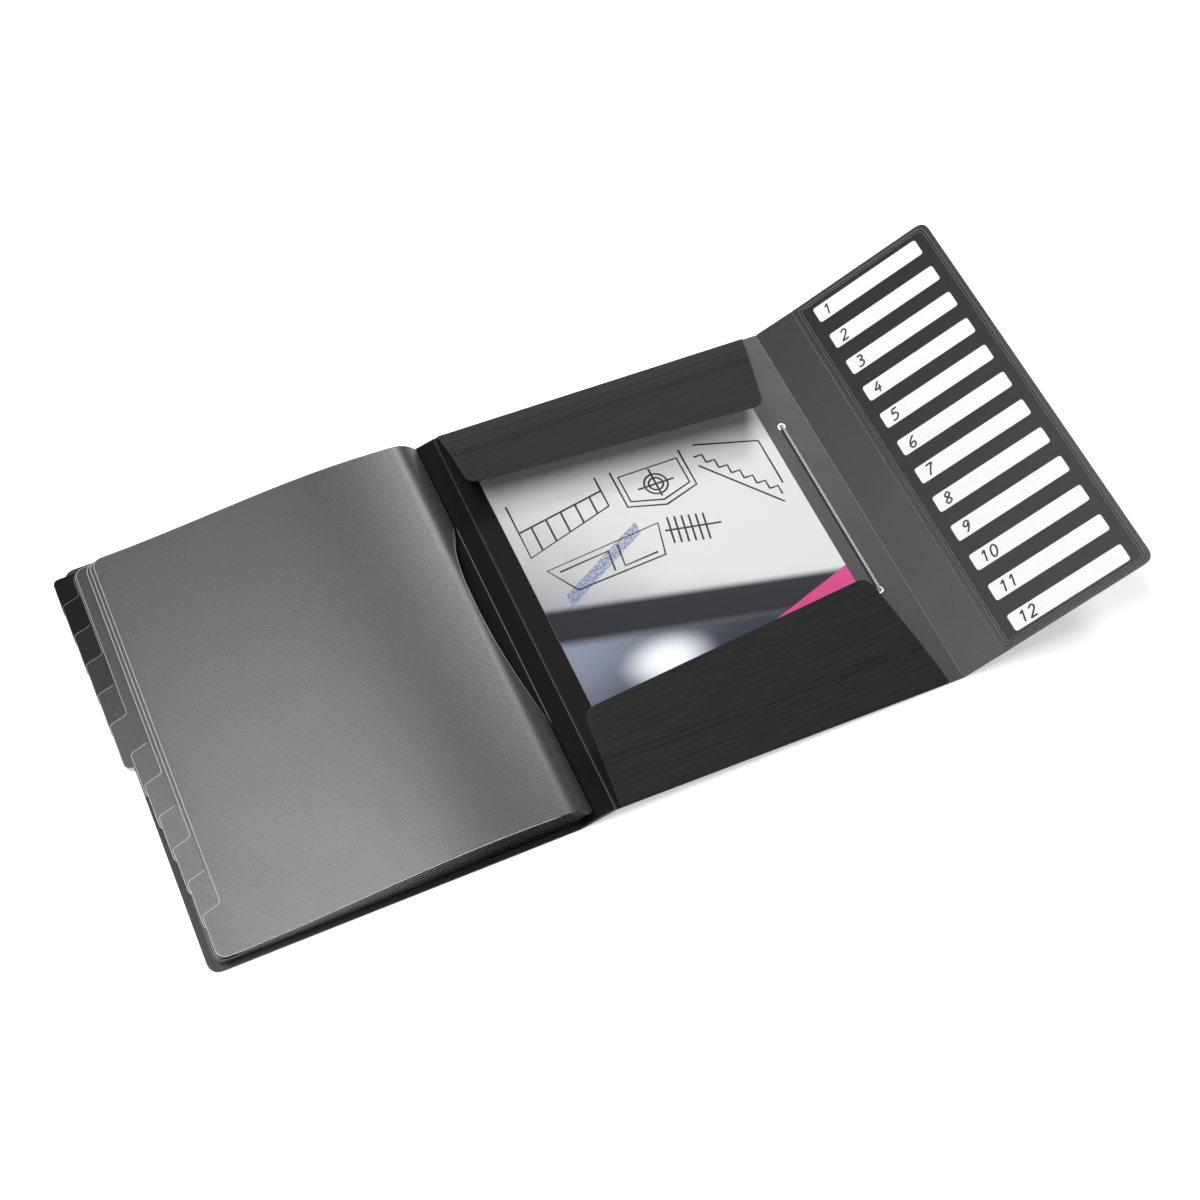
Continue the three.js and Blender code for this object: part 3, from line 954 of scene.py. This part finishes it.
@dataclass(frozen=True)
class DividerStack:
    """Twelve curved divider sheets with tabs, bound along the spine."""

    count: int = 12
    half_height: float = 155.5
    thickness: float = 0.34
    spacing: float = 0.72
    swell_height: float = 14.7
    swell_crest: float = 50.0
    swell_end: float = 235.0
    inner_crest: float = 50.0
    inner_share: float = 0.8
    lower_width: float = 244.6
    lower_setback: float = 0.55
    upper_width: float = 235.4
    upper_setback: float = 1.35
    group: int = 6
    tab_reach: float = 13.2
    tab_overrun: float = 7.3
    last_tab_length: float = 36.7
    tab_overlap: float = 14.7
    tab_radius: float = 4.5
    corner_radius: float = 7.0
    shoulder_above: float = 2.2
    shoulder_length: float = 9.6
    bend_start: float = 8.0
    binding_along: float = 13.0
    binding_height: float = 1.2
    binding_spacing: float = 0.3
    binding_slope: float = -1.5
    notch_depth: float = 12.0
    notch_middle: float = 12.0
    notch_upper: Point = (70.0, 2.9)
    notch_lower: Point = (96.0, 2.0)
    rim_width: float = 0.36
    pair_shift: float = 0.32
    columns: int = 46
    column_stops: tuple[float, ...] = (0.0, 0.16, 0.7, 1.0)
    tab_zone: float = 14.0
    bend_zone: float = 22.0
    even_rows: int = 40
    corner_gaps: tuple[float, ...] = (0.0, 0.4, 1.2, 2.4, 4.2, 7.0)
    shoulder_rows: int = 12
    tab_end_shares: tuple[float, ...] = (0.0, 0.06, 0.25, 0.6, 1.0)
    tab_end_gap: float = 0.12
    row_gap: float = 0.05
    blend_start: float = -7.0
    # Sheets lower in the stack get darker faces and dimmer edge rims as painted shade.
    face_span: Point = (1.5, 9.0)
    face_level: Point = (0.006, 0.036)
    face_gloss: Point = (0.08, 0.62)
    face_roughness: float = 0.36
    face_relief: float = 0.00009
    edge_span: Point = (0.0, 9.0)
    edge_level: Point = (0.1, 0.38)

    def tab_start(self, number: int) -> float:
        """Returns how far up the page a divider's tab starts."""
        span = 2 * self.half_height + self.tab_overrun - self.last_tab_length
        return self.half_height + self.tab_overrun - span / (self.count - 1) * (number - 1)

    def tab_end(self, number: int) -> float:
        """Returns how far up the page a divider's tab ends."""
        pitch = self.tab_start(1) - self.tab_start(2)
        return max(-self.half_height, self.tab_start(number) - pitch - self.tab_overlap)

    def width(self, number: int) -> float:
        """Returns a divider's reach from the cover fold, without its tab.

        Args:
            number: The divider, 1 at the bottom.

        Returns:
            The reach in millimetres.
        """
        if number <= self.group:
            return self.lower_width - self.lower_setback * (number - 1)
        return self.upper_width - self.upper_setback * (number - 1 - self.group)

    def rounded(self, gap: float, radius: float) -> float:
        """Returns how much a corner's arc takes off at a distance from the end."""
        inner = min(radius, max(0.0, radius - gap))
        return radius - math.sqrt(radius ** 2 - inner ** 2)

    def reach(self, number: int, up: float) -> float:
        """Returns a divider's outline: its reach from the cover fold at a height up the page.

        Args:
            number: The divider, 1 at the bottom.
            up: Distance up the page from its middle.

        Returns:
            The reach in millimetres.
        """
        reach, half = self.width(number), self.half_height
        start, end = self.tab_start(number), self.tab_end(number)
        if up >= end:
            step = (start + self.shoulder_above - up) / self.shoulder_length
            step = min(1.0, max(0.0, step))
            reach += self.tab_reach * step ** 3 / (step ** 3 + (1 - step) ** 3)
            if end > -half:
                reach -= self.rounded(up - end, self.tab_radius)
        radius = self.tab_radius if start > half else self.corner_radius
        return reach - self.rounded(half - up, radius) - self.rounded(up + half, self.corner_radius)

    def rows(self, number: int) -> list[float]:
        """Returns the heights up the page at which a divider's outline is sampled.

        Args:
            number: The divider, 1 at the bottom.

        Returns:
            The heights in millimetres, from the bottom up.
        """
        half, even, steps = self.half_height, self.even_rows, self.shoulder_rows
        shoulder, end = self.tab_start(number) + self.shoulder_above, self.tab_end(number)
        marks = {-half + 2 * half * i / even for i in range(even + 1)} | {end - self.tab_end_gap}
        for gap in self.corner_gaps:
            marks |= {half - gap, -half + gap}
        marks |= {shoulder - self.shoulder_length * i / steps for i in range(steps + 1)}
        marks |= {end + self.tab_radius * share for share in self.tab_end_shares}
        kept: list[float] = []
        for mark in sorted(mark for mark in marks if -half <= mark <= half):
            if not kept or mark - kept[-1] > self.row_gap:
                kept.append(mark)
        return kept

    def rise(self, number: int, distance: float) -> float:
        """Returns the height of a divider's upper face over the cover.

        Args:
            number: The divider, 1 at the bottom.
            distance: Distance from the cover fold in millimetres.

        Returns:
            The height in millimetres.
        """
        outer = 1 - smoothstep(distance, self.swell_crest, self.swell_end)
        inward = max(0.0, 1 - distance / self.inner_crest)
        share = outer * (1 - (1 - self.inner_share) * inward ** 2)
        level = number - self.pair_shift * (number % 2)
        return (self.spacing + self.swell_height * share / self.count) * level

    def binding(self, number: int) -> Vector:
        """Returns where a divider is bound, on the lining of the spine."""
        height = self.binding_height + self.binding_spacing * number
        return PLANES.spine.place(self.binding_along, 0.0, height)

    def notch(self, up: float) -> float:
        """Returns how far the bound edge is cut back at a height up the page.

        Args:
            up: Distance up the page from its middle.

        Returns:
            The depth in millimetres.
        """
        offset = up - self.notch_middle
        length, power = self.notch_upper if offset > 0 else self.notch_lower
        return self.notch_depth * max(0.0, 1 - (abs(offset) / length) ** power)

    def height(self, number: int, x: float) -> float:
        """Returns the height of a divider's upper face in metres at a place in X.

        Args:
            number: The divider.
            x: The place in millimetres.

        Returns:
            The height over the floor in metres.
        """
        fold = PLANES.cover
        distance = fold.x / MM - x
        if distance >= self.bend_start:
            return fold.z + self.rise(number, distance) * MM
        rise = self.rise(number, self.bend_start)
        leave = rise - self.rise(number, self.bend_start + 1)
        end = self.binding(number) / MM
        run = end.x - (fold.x / MM - self.bend_start)
        t = (self.bend_start - distance) / run
        start = fold.z / MM + rise
        return eased(t, start, run * leave, end.z, run * self.binding_slope) * MM

    def sheet(self, number: int) -> None:
        """Builds one divider.

        Args:
            number: The divider, 1 at the bottom.
        """
        rows = self.rows(number)
        fold = PLANES.cover.x / MM
        bound = self.binding(number).x / MM
        tabs, bend = fold - self.width(number) + self.tab_zone, fold - self.bend_zone

        def point(across: float, share_up: float) -> Vector:
            """Returns the place of a corner of the sheet.

            Args:
                across: Share of the way across.
                share_up: Share of the way up the page.

            Returns:
                The place in metres.
            """
            up = rows[round(share_up * (len(rows) - 1))]
            places = (fold - self.reach(number, up), tabs, bend, bound - self.notch(up))
            k = sum(across > stop for stop in self.column_stops[1:-1])
            low, high = self.column_stops[k:k + 2]
            x = places[k] + (places[k + 1] - places[k]) * ((across - low) / (high - low))
            return Vector((x * MM, up * MM, self.height(number, x)))

        name = f"divider_sheet_{number:02d}"
        piece = shaped_grid(name, self.columns, len(rows) - 1, point)
        dress(piece, self.face(number), self.edge(number))
        # The rim round the face takes the edge finish, a painted highlight along the sheet's edge.
        give_rim(piece, self.rim_width * MM, 1)
        thickness = self.thickness * MM
        add_modifier(piece, "SOLIDIFY", thickness=thickness, offset=-1.0, material_offset_rim=1)
        smooth(piece)
        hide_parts(f"divider_{number:02d}")
        start = PLANES.cover.place(self.blend_start, 0.0, 0.0)
        end = Vector((self.binding(number).x - MM, 0.0, PLANES.cover.z))
        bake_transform(piece)
        log.info("built %s", name)

    def face(self, number: int) -> GrainedPlastic:
        """Returns a divider's finish, darker for the sheets lower down as painted shade.

        Args:
            number: The divider, 1 at the bottom.

        Returns:
            The finish.
        """
        name, share = f"divider_grey_{number:02d}", smoothstep(number, *self.face_span)
        level, gloss = (low + rise * share for low, rise in (self.face_level, self.face_gloss))
        return GrainedPlastic(name, level, self.face_roughness, relief=self.face_relief, gloss=gloss)

    def edge(self, number: int) -> SheetEdge:
        """Returns the finish of a divider's cut edge and rim: a painted highlight, dimmer on the sheets
        lower down and turned to painted shade towards the binding.

        Args:
            number: The divider, 1 at the bottom.

        Returns:
            The finish.
        """
        name, (low, rise) = f"divider_edge_{number:02d}", self.edge_level
        level = low + rise * smoothstep(number, *self.edge_span)
        # The top sheet keeps a painted highlight along its notch; odd sheets keep it only out on their
        # tabs, even sheets away from the binding, and the rest is painted shade.
        if number == self.count:
            return SheetEdge(name, level, 0.01, 0.36, pale_until=-0.098, dark_from=-0.088)
        if number % 2:
            outer = PLANES.cover.x - self.width(number) * MM
            return SheetEdge(name, level, 0.008, 0.008, outer - 0.0014, outer - 0.0005)
        return SheetEdge(name, level, 0.01, 0.01, pale_until=-0.21, dark_from=-0.12)

    def build(self) -> None:
        """Builds all the dividers."""
        for number in range(1, self.count + 1):
            self.sheet(number)


@dataclass(frozen=True)
class PanelFold:
    """Scored strip that joins two panels."""

    name: str
    first: PanelPlane
    along: float
    second: PanelPlane
    finish: CreasedPlastic
    half_height: float = 159.5
    reach: float = 0.78
    flank: tuple[Point, ...] = ((1.0, 0.0), (0.62, 0.0), (0.4, -0.3))
    depth: float = 0.42
    thickness: float = 0.3
    bevel: float = 0.06
    rows: int = 24

    def build(self) -> None:
        """Builds the strip in the gap between the panels."""
        profile = [
            self.first.place(self.along - self.reach * share, 0.0, off)
            for share, off in (*self.flank, (0.0, -self.depth))
        ]
        for share, off in reversed(self.flank):
            profile.append(self.second.place(self.reach * share, 0.0, off))

        def point(across: float, up: float) -> Vector:
            """Returns the place of a corner of the strip."""
            base = profile[round(across * (len(profile) - 1))]
            return Vector((base.x, (2 * up - 1) * self.half_height * MM, base.z))

        piece = shaped_grid(self.name, len(profile) - 1, self.rows, point)
        dress(piece, self.finish)
        add_modifier(piece, "SOLIDIFY", thickness=self.thickness * MM, offset=-1.0)
        add_modifier(piece, "BEVEL", width=self.bevel * MM, segments=2, limit_method="ANGLE")
        smooth(piece)
        start = self.first.place(self.along - self.reach, 0.0, 0.0)
        end = self.second.place(self.reach, 0.0, 0.0)
        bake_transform(piece)
        log.info("built %s", self.name)


@dataclass(frozen=True)
class Folds:
    """Four scored folds between the five panels."""

    spine_width: float = 27.56
    back_width: float = 258.6
    gusset_width: float = 31.8
    pale_line: CreasedPlastic = CreasedPlastic("crease_grey", 0.036, 0.34)
    dark_line: CreasedPlastic = CreasedPlastic("crease_black", 0.008, 0.01, gloss=0.05)

    def build(self) -> None:
        """Builds the folds, each at the end of its first panel."""
        for name, first, along, second, finish in (
            ("cover_crease", PLANES.cover, 0.0, PLANES.spine, self.dark_line),
            ("spine_crease", PLANES.spine, self.spine_width, PLANES.back, self.dark_line),
            ("gusset_crease", PLANES.back, self.back_width, PLANES.gusset, self.pale_line),
            ("closing_flap_crease", PLANES.gusset, self.gusset_width, PLANES.flap, self.pale_line),
        ):
            PanelFold(name, first, along, second, finish).build()


@dataclass(frozen=True)
class Panels:
    """Plain panels of the folder and the lining of its spine."""

    def build(self) -> None:
        """Dresses each panel in a grey of the one cover plastic, darker on the front cover and the spine
        panel as painted shade, and the lining.
        """
        # The front cover's and the spine panel's darker greys are painted shade; the edge column sets the
        # painted highlight on the cut edges.
        for name, plane, level, edge, lined in (
            ("front_cover", PLANES.cover, 0.019, 0.14, 0.0),
            ("spine_panel", PLANES.spine, 0.012, 0.008, 0.0),
            ("back_panel", PLANES.back, 0.034, 0.14, 0.0026),
            ("gusset_panel", PLANES.gusset, 0.027, 0.14, 0.0),
            ("closing_flap", PLANES.flap, 0.027, 0.14, 0.0),
        ):
            finish = GrainedPlastic(
                f"{name}_grey",
                level,
                roughness=0.42,
                edge_level=edge,
                edge_axis=tuple(plane.normal()),
                gloss=0.3,
                lined_until=lined,
            )
            dress_node(name, finish)
        dress_node("spine_lining", BoundLining("bound_lining", 0.008, 0.16))


@dataclass(frozen=True)
class RibbedFlap:
    """Pocket flap: a sheet that curls in off its fold, with fine ribs and scored lines."""

    name: str
    node: str
    side: int
    body: str
    hinge: float = POCKET_HINGE
    hinge_rise: float = 1.0
    left: float = 2.2
    right: float = 246.8
    end_slant: float = 25.2
    inner_depth: float = 62.0
    outer_depth: float = 80.6
    corner_radius: float = 9.0
    thickness: float = 0.62
    zones: tuple[Point, ...] = ((15.0, 25.0), (16.5, 22.5), (60.0, 18.6))
    scores: tuple[float, ...] = (15.0, 27.5, 31.5)
    score_depth: float = 0.34
    score_half_width: float = 0.5
    rib_pitch: float = 1.45
    rib_height: float = 0.11
    steps_in_rib: int = 4
    blend_length: float = 5.0
    corner_steps: int = 7
    columns: int = 12
    spare: Point = (-2.0, 8.0)
    cut_heights: Point = (-0.01, 0.06)

    def slope(self, distance: float) -> float:
        """Returns the slope of the flap in radians at a distance from its fold.

        Args:
            distance: Distance along the flap in millimetres.

        Returns:
            The slope.
        """
        degrees, end = self.zones[0][1], 0.0
        for (length, _), (_, after) in zip(self.zones, self.zones[1:]):
            end += length
            share = smoothstep(distance, end - self.blend_length, end + self.blend_length)
            degrees += (after - degrees) * share
        return math.radians(degrees)

    def relief(self, distance: float) -> float:
        """Returns the height of ribs and scores over the flap's plain face.

        Args:
            distance: Distance along the flap in millimetres.

        Returns:
            The height in millimetres.
        """
        if min(abs(distance - score) for score in self.scores) < self.score_half_width:
            return -self.score_depth
        return self.rib_height * (0.5 - 0.5 * math.cos(2 * math.pi * distance / self.rib_pitch))

    def section(self) -> list[Point]:
        """Returns the flap's upper face as depths from the hinge and heights.

        Returns:
            Depths and heights in millimetres, from the fold to the free edge.
        """
        step = self.rib_pitch / self.steps_in_rib
        reach = sum(length for length, _ in self.zones)
        depth, height, points = 0.0, self.hinge_rise + self.thickness, []
        for i in range(int(reach / step) + 1):
            slope, lift = self.slope(i * step), self.relief(i * step)
            points.append((depth - lift * math.sin(slope), height + lift * math.cos(slope)))
            depth += step * math.cos(slope)
            height += step * math.sin(slope)
        return points

    def outline(self) -> list[Vector]:
        """Returns the flap's plan, anticlockwise, in metres.

        Returns:
            The corners of the plan.
        """
        far = self.right - self.end_slant
        corners = (
            (self.left, 0.0, 0.0),
            (self.right, 0.0, 0.0),
            (far, self.outer_depth, self.corner_radius),
            (self.left, self.inner_depth, self.corner_radius),
        )
        plan: list[Vector] = []
        for k, (u, depth, radius) in enumerate(corners):
            corner = Vector((u, depth))
            if not radius:
                plan.append(corner)
                continue
            before = Vector(corners[k - 1][:2])
            after = Vector(corners[(k + 1) % len(corners)][:2])
            start = corner + (before - corner).normalized() * radius
            end = corner + (after - corner).normalized() * radius
            for i in range(self.corner_steps + 1):
                t = i / self.corner_steps
                plan.append(start * (1 - t) ** 2 + corner * (2 * t * (1 - t)) + end * t ** 2)
        side, hinge = self.side, self.hinge
        placed = [PLANES.back.place(point.x, side * (hinge - point.y), 0.0) for point in plan]
        return placed[::-side]

    def build(self) -> None:
        """Builds the flap in place of its node."""
        section = self.section()[::-self.side]

        def point(across: float, up: float) -> Vector:
            """Returns the place of a corner of the flap.

            Args:
                across: Share of the way across.
                up: Share of the way up the page.

            Returns:
                The place in metres.
            """
            depth, height = section[round(up * (len(section) - 1))]
            along = self.left + self.spare[0] + (self.right - self.left + self.spare[1]) * across
            return PLANES.back.place(along, self.side * (self.hinge - depth), height)

        piece = shaped_grid(self.name, self.columns, len(section) - 1, point)
        add_modifier(piece, "SOLIDIFY", thickness=self.thickness * MM, offset=-1.0)
        cut_to_outline(piece, self.outline(), *self.cut_heights)
        dress(piece, RIBBED_FINISH)
        smooth(piece, 30.0)
        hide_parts(self.node)
        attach(piece, self.body)
        log.info("built %s", self.name)


@dataclass(frozen=True)
class Pocket:
    """Black pocket sheet, its two ribbed flaps and the brochure that they hold."""

    hinge: float = POCKET_HINGE
    hinge_left: float = 2.4
    hinge_right: float = 246.0
    blend_from: float = 0.66
    blend_until: float = 1.3
    document_top: float = 1.8
    fold_profile: tuple[Point, ...] = (
        (-2.6, 0.57), (-1.0, 0.58), (-0.25, 0.62), (0.02, 0.76), (0.05, 1.2), (0.02, 1.52)
    )
    fold_thickness: float = 0.2
    fold_columns: int = 24
    fold_middle: float = 100.0
    line_radius: float = 0.75
    line_relief: float = 0.08
    ring_steps: int = 40
    ring_middle: Point = (131.0, 63.0)
    ring_radii: Point = (8.5, 5.2)
    open_lines: str = (
        "24,84 24,38 92,58 92,84 / 24,60 92,72 / 104,84 104,52 131,44 158,52 158,84 / "
        "117,63 145,63 / 131,52 131,77 / 166,66 210,15 / 170,84 216,70 216,30 / "
        "38,20 76,23.5 74,7 / 84,26 82,8 108,10 / 120,24 160,16"
    )
    closed_lines: str = "108,78 108,55.5 131,48.6 154,55.5 154,78 / 30,24 118,32 112,6 44,2"
    repeated_lines: tuple[tuple[int, str, str], ...] = (
        (5, "34,41 34,62", "12,3.6 12,2.1"),
        (6, "126,34 122,12", "5,-1.2 5,-1.2"),
        (7, "166,74 172.5,74 172.5,66.5", "6.5,-7.5 6.5,-7.5 6.5,-7.5"),
    )

    def flap_fold(self, name: str, side: int) -> None:
        """Builds the folded strip that joins a flap to the pocket sheet.

        Args:
            name: Name of the piece.
            side: 1 for the upper flap, -1 for the lower one.
        """
        profile = self.fold_profile[::-side]

        def point(across: float, up: float) -> Vector:
            """Returns the place of a corner of the strip.

            Args:
                across: Share of the way across.
                up: Share of the way up the page.

            Returns:
                The place in metres.
            """
            along = self.hinge_left + (self.hinge_right - self.hinge_left) * across
            outward, off = profile[round(up * (len(profile) - 1))]
            return PLANES.back.place(along, side * (self.hinge + outward), off)

        piece = shaped_grid(name, self.fold_columns, len(profile) - 1, point)
        dress(piece, LINING_FINISH)
        add_modifier(piece, "SOLIDIFY", thickness=self.fold_thickness * MM, offset=0.0)
        smooth(piece, 60.0)
        start = PLANES.back.place(self.fold_middle, side * self.hinge, self.blend_from)
        end = PLANES.back.place(self.fold_middle, side * self.hinge, self.blend_until)
        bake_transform(piece)
        log.info("built %s", name)

    def drawing(self) -> None:
        """Builds the fine line drawing that is printed on the brochure."""
        strokes = [(line, False) for line in written_lines(self.open_lines)]
        strokes += [(line, True) for line in written_lines(self.closed_lines)]
        for radius in self.ring_radii:
            turns = [2 * math.pi * i / self.ring_steps for i in range(self.ring_steps)]
            u, y = self.ring_middle
            ring = [(u + radius * math.cos(t), y + radius * math.sin(t)) for t in turns]
            strokes.append((ring, True))
        for count, first, step in self.repeated_lines:
            (line,), (way,) = written_lines(first), written_lines(step)
            for k in range(count):
                moved = [(u + k * du, y + k * dy) for (u, y), (du, dy) in zip(line, way)]
                strokes.append((moved, False))
        lines: list[Line] = [
            ([PLANES.back.place(u, y, self.document_top) for u, y in points], closed)
            for points, closed in strokes
        ]
        piece = traced_tubes("cover_drawing", lines, self.line_radius * MM, sides=1)
        flatten(piece, PLANES.back, self.document_top, self.line_relief)
        dress(piece, PenInk("printed_line"))
        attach(piece, "back")
        log.info("built cover_drawing with %d lines", len(lines))

    def build(self) -> None:
        """Dresses the pocket's nodes and builds its folds and print."""
        dress_node("pocket_base", LINING_FINISH)
        sides = (("upper", 1), ("lower", -1))
        for place, side in sides:
            body = f"{place}_pocket"
            RibbedFlap(f"{place}_flap_sheet", f"{body}_flap", side, body).build()
        dress_node("document", PrintedCover())
        for place, side in sides:
            self.flap_fold(f"{place}_flap_fold", side)
        self.drawing()


@dataclass(frozen=True)
class ElasticClosure:
    """Taut elastic cord between two eyelets of the back panel."""

    along: float = 238.2
    half_spread: float = 75.75
    run: float = 1.7
    radius: float = 1.0
    bend: float = 1.9
    bend_steps: int = 6
    foot: float = -1.0
    half_steps: int = 12

    def route(self) -> list[Vector]:
        """Returns the cord's middle line, from one eyelet to the other.

        Returns:
            The points of the line in metres.
        """
        spread, half = self.half_spread, self.half_steps
        upper = [(spread, self.foot)]
        for i in range(self.bend_steps + 1):
            turn = math.pi / 2 * i / self.bend_steps
            up = spread - self.bend * (1 - math.cos(turn))
            upper.append((up, self.run - self.bend * (1 - math.sin(turn))))
        middle = [(spread * (1 - i / half), self.run) for i in range(1, 2 * half) if i != half]
        middle = [each for each in middle if abs(each[0]) < spread - 2 * self.bend]
        lower = [(-up, off) for up, off in reversed(upper)]
        return [PLANES.back.place(self.along, up, off) for up, off in upper + middle + lower]

    def build(self) -> None:
        """Builds the cord and dresses the eyelets."""
        piece = traced_tubes("elastic_braid", [(self.route(), False)], self.radius * MM, sides=6)
        centre = PLANES.back.place(self.along, 0.0, self.run)
        dress(piece, BraidedElastic("elastic_braid", (centre.x, centre.z)))
        smooth(piece)
        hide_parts("elastic_cord")
        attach(piece, "back")
        for name in ("eyelet_upper", "eyelet_lower"):
            dress_node(name, EyeletMetal())
        log.info("built elastic_braid")


# The strokes of each digit, in hundredths of its height.
DIGIT_UNIT = 100.0
DIGIT_STROKES = {
    "0": "30,100 8,80 4,40 16,4 38,2 54,35 52,78 30,100",
    "1": "8,76 32,100 / 32,100 30,0",
    "2": "4,80 30,100 52,76 30,34 0,0 / 0,0 60,3",
    "3": "4,94 36,98 48,74 20,55 / 20,55 50,42 50,12 26,-2 0,8",
    "4": "40,100 0,34 / 0,34 60,36 / 46,66 40,0",
    "5": "56,100 14,98 / 14,98 8,57 / 8,57 36,60 54,34 34,2 0,5",
    "6": "48,100 16,66 4,24 26,-2 52,16 42,44 8,34",
    "7": "0,97 58,100 / 58,100 32,48 20,0",
    "8": "30,54 8,76 28,100 50,78 30,54 4,24 28,-2 / 28,-2 54,22 30,54",
    "9": "52,72 28,50 6,70 26,98 52,84 48,40 24,0",
}


@dataclass(frozen=True)
class IndexFlap:
    """Index panel on the closing flap, with its welded border and numbered labels."""

    label_count: int = 12
    label_left: float = 14.1
    label_height: float = 13.6
    label_top: float = 150.2
    label_pitch: float = 26.2
    label_face: float = 0.65
    panel_face: float = 0.45
    number_size: float = 8.6
    number_weight: float = 0.72
    number_inset: float = 6.5
    number_advance: float = 0.8
    number_slant: float = 0.2
    number_relief: float = 0.08
    flap_width: float = 116.7
    half_height: float = 159.5
    border_gap: float = 0.6
    border_bend: float = 1.2
    bend_steps: int = 8

    def border(self, name: str, margin: float, radius: float, width: float) -> None:
        """Builds a welded line that runs round the index panel.

        Args:
            name: Name of the piece.
            margin: Distance of the line from the closing flap's edges.
            radius: Radius of the line's outer corners.
            width: Width of the line.
        """
        left, right = margin + self.border_gap, self.flap_width - margin
        half, small, steps = self.half_height - margin, self.border_bend, self.bend_steps
        corners = ((left, -half, small), (right, -half, radius), (right, half, radius), (left, half, small))
        outline: list[Vector] = []
        for k, (u, y, bend) in enumerate(corners):
            inner_u = u + bend if u == left else u - bend
            inner_y = y + bend if y < 0 else y - bend
            for i in range(steps + 1):
                turn = math.pi * (1 + 0.5 * k) + math.pi / 2 * i / steps
                along, up = inner_u + bend * math.cos(turn), inner_y + bend * math.sin(turn)
                outline.append(PLANES.flap.place(along, up, self.panel_face))
        piece = traced_tubes(name, [(outline, True)], width / 2 * MM, sides=2)
        smooth(piece)
        dress(piece, GrainedPlastic("welded_line", 0.12, roughness=0.36))
        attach(piece, "flap")
        log.info("built %s", name)

    def numeral(self, number: int) -> None:
        """Builds the number that is written with a pen at the left of a label.

        Args:
            number: The label, 1 at the top.
        """
        middle = self.label_top - self.label_pitch * (number - 1) - self.label_height / 2
        left, size = self.label_left + self.number_inset, self.number_size
        base = middle - size / 2
        lines: list[Line] = []
        for digit in str(number):
            for stroke in written_lines(DIGIT_STROKES[digit], DIGIT_UNIT):
                points = [
                    PLANES.flap.place(
                        left + (u + self.number_slant * v) * size, base + v * size, self.label_face
                    )
                    for u, v in rounded_line(stroke)
                ]
                lines.append((points, False))
            left += self.number_advance * size
        piece = traced_tubes(f"label_number_{number:02d}", lines, self.number_weight * MM, sides=1)
        flatten(piece, PLANES.flap, self.label_face, self.number_relief)
        dress(piece, PenInk())
        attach(piece, "flap")

    def build(self) -> None:
        """Dresses the index panel and builds its border and numbers."""
        dress_node("index_panel", INDEX_FINISH)
        for number in range(1, self.label_count + 1):
            dress_node(f"index_label_{number:02d}", LABEL_FINISH)
            self.numeral(number)
        self.border("index_border", 5.2, 4.2, 0.5)
        self.border("index_weld", 3.4, 5.2, 0.6)
        log.info("built %d label numbers", self.label_count)


@dataclass(frozen=True)
class SoftLight:
    """Rectangular soft light that faces a point on the folder."""

    name: str
    place: tuple[float, float, float]
    size: tuple[float, float]
    radiance: float
    target: tuple[float, float, float] = (0.0, 0.0, 0.0)

    def build(self) -> None:
        """Adds the light."""
        data = bpy.data.lights.new(self.name, "AREA")
        data.shape = "RECTANGLE"
        data.size, data.size_y = self.size
        data.energy = self.radiance * math.pi * self.size[0] * self.size[1]
        light = bpy.data.objects.new(self.name, data)
        bpy.context.scene.collection.objects.link(light)
        way = Vector(self.target) - Vector(self.place)
        turned = way.to_track_quat("-Z", "Y").to_matrix().to_4x4()
        light.matrix_world = Matrix.Translation(self.place) @ turned


@dataclass(frozen=True)
class Studio:
    """Pale floor, soft lights and the camera over the open folder."""

    lights: tuple[SoftLight, ...] = (
        SoftLight("overhead", (-0.72, 0.23, 2.0), (1.7, 0.85), 9.6),
        SoftLight("far_right", (1.2, 1.6, 2.1), (1.0, 0.9), 12.0),
        SoftLight("front_fill", (0.3, -1.5, 1.3), (1.6, 0.8), 1.8),
    )
    lens: float = 62.07
    sensor: float = 36.0
    camera_place: tuple[float, float, float] = (-0.32755, -0.66901, 1.22032)
    azimuth: float = -26.55
    elevation: float = 58.72
    roll: float = 2.87
    floor_size: float = 8.0
    floor_height: float = -0.0002
    world_level: float = 0.08

    def floor(self) -> None:
        """Adds the floor."""
        select_only(None)
        place = (0.0, 0.0, self.floor_height)
        bpy.ops.mesh.primitive_plane_add(size=self.floor_size, location=place)
        floor = bpy.context.object
        floor.name = "studio_floor"
        dress(floor, StudioFloor())

    def camera(self) -> None:
        """Adds the camera, which looks down on the folder."""
        data = bpy.data.cameras.new("camera")
        data.lens = self.lens
        data.sensor_width = self.sensor
        camera = bpy.data.objects.new("camera", data)
        bpy.context.scene.collection.objects.link(camera)
        a, e, r = (math.radians(angle) for angle in (self.azimuth, self.elevation, self.roll))
        back = Vector((math.sin(a) * math.cos(e), -math.cos(a) * math.cos(e), math.sin(e)))
        level = Vector((math.cos(a), math.sin(a), 0.0))
        rise = back.cross(level)
        right = level * math.cos(r) + rise * math.sin(r)
        up = rise * math.cos(r) - level * math.sin(r)
        turned = Matrix((right, up, back)).transposed().to_4x4()
        camera.matrix_world = Matrix.Translation(self.camera_place) @ turned
        bpy.context.scene.camera = camera

    def surroundings(self) -> None:
        """Adds the soft lights and the pale surroundings."""
        for light in self.lights:
            light.build()
        world = bpy.data.worlds.new("studio")
        world.use_nodes = True
        background = world.node_tree.nodes["Background"]
        background.inputs["Color"].default_value = (*WHITE, 1.0)
        background.inputs["Strength"].default_value = self.world_level
        bpy.context.scene.world = world
        bpy.context.scene.view_settings.view_transform = "Standard"

    def build(self) -> None:
        """Builds the studio."""
        self.floor()
        self.camera()
        self.surroundings()
        log.info("built studio")


def main() -> None:
    """Builds the studio, then the folder from its cover to its closing flap."""
    Studio().build()
    Panels().build()
    DividerStack().build()
    Folds().build()
    Pocket().build()
    ElasticClosure().build()
    IndexFlap().build()


if __name__ == "__main__":
    main()
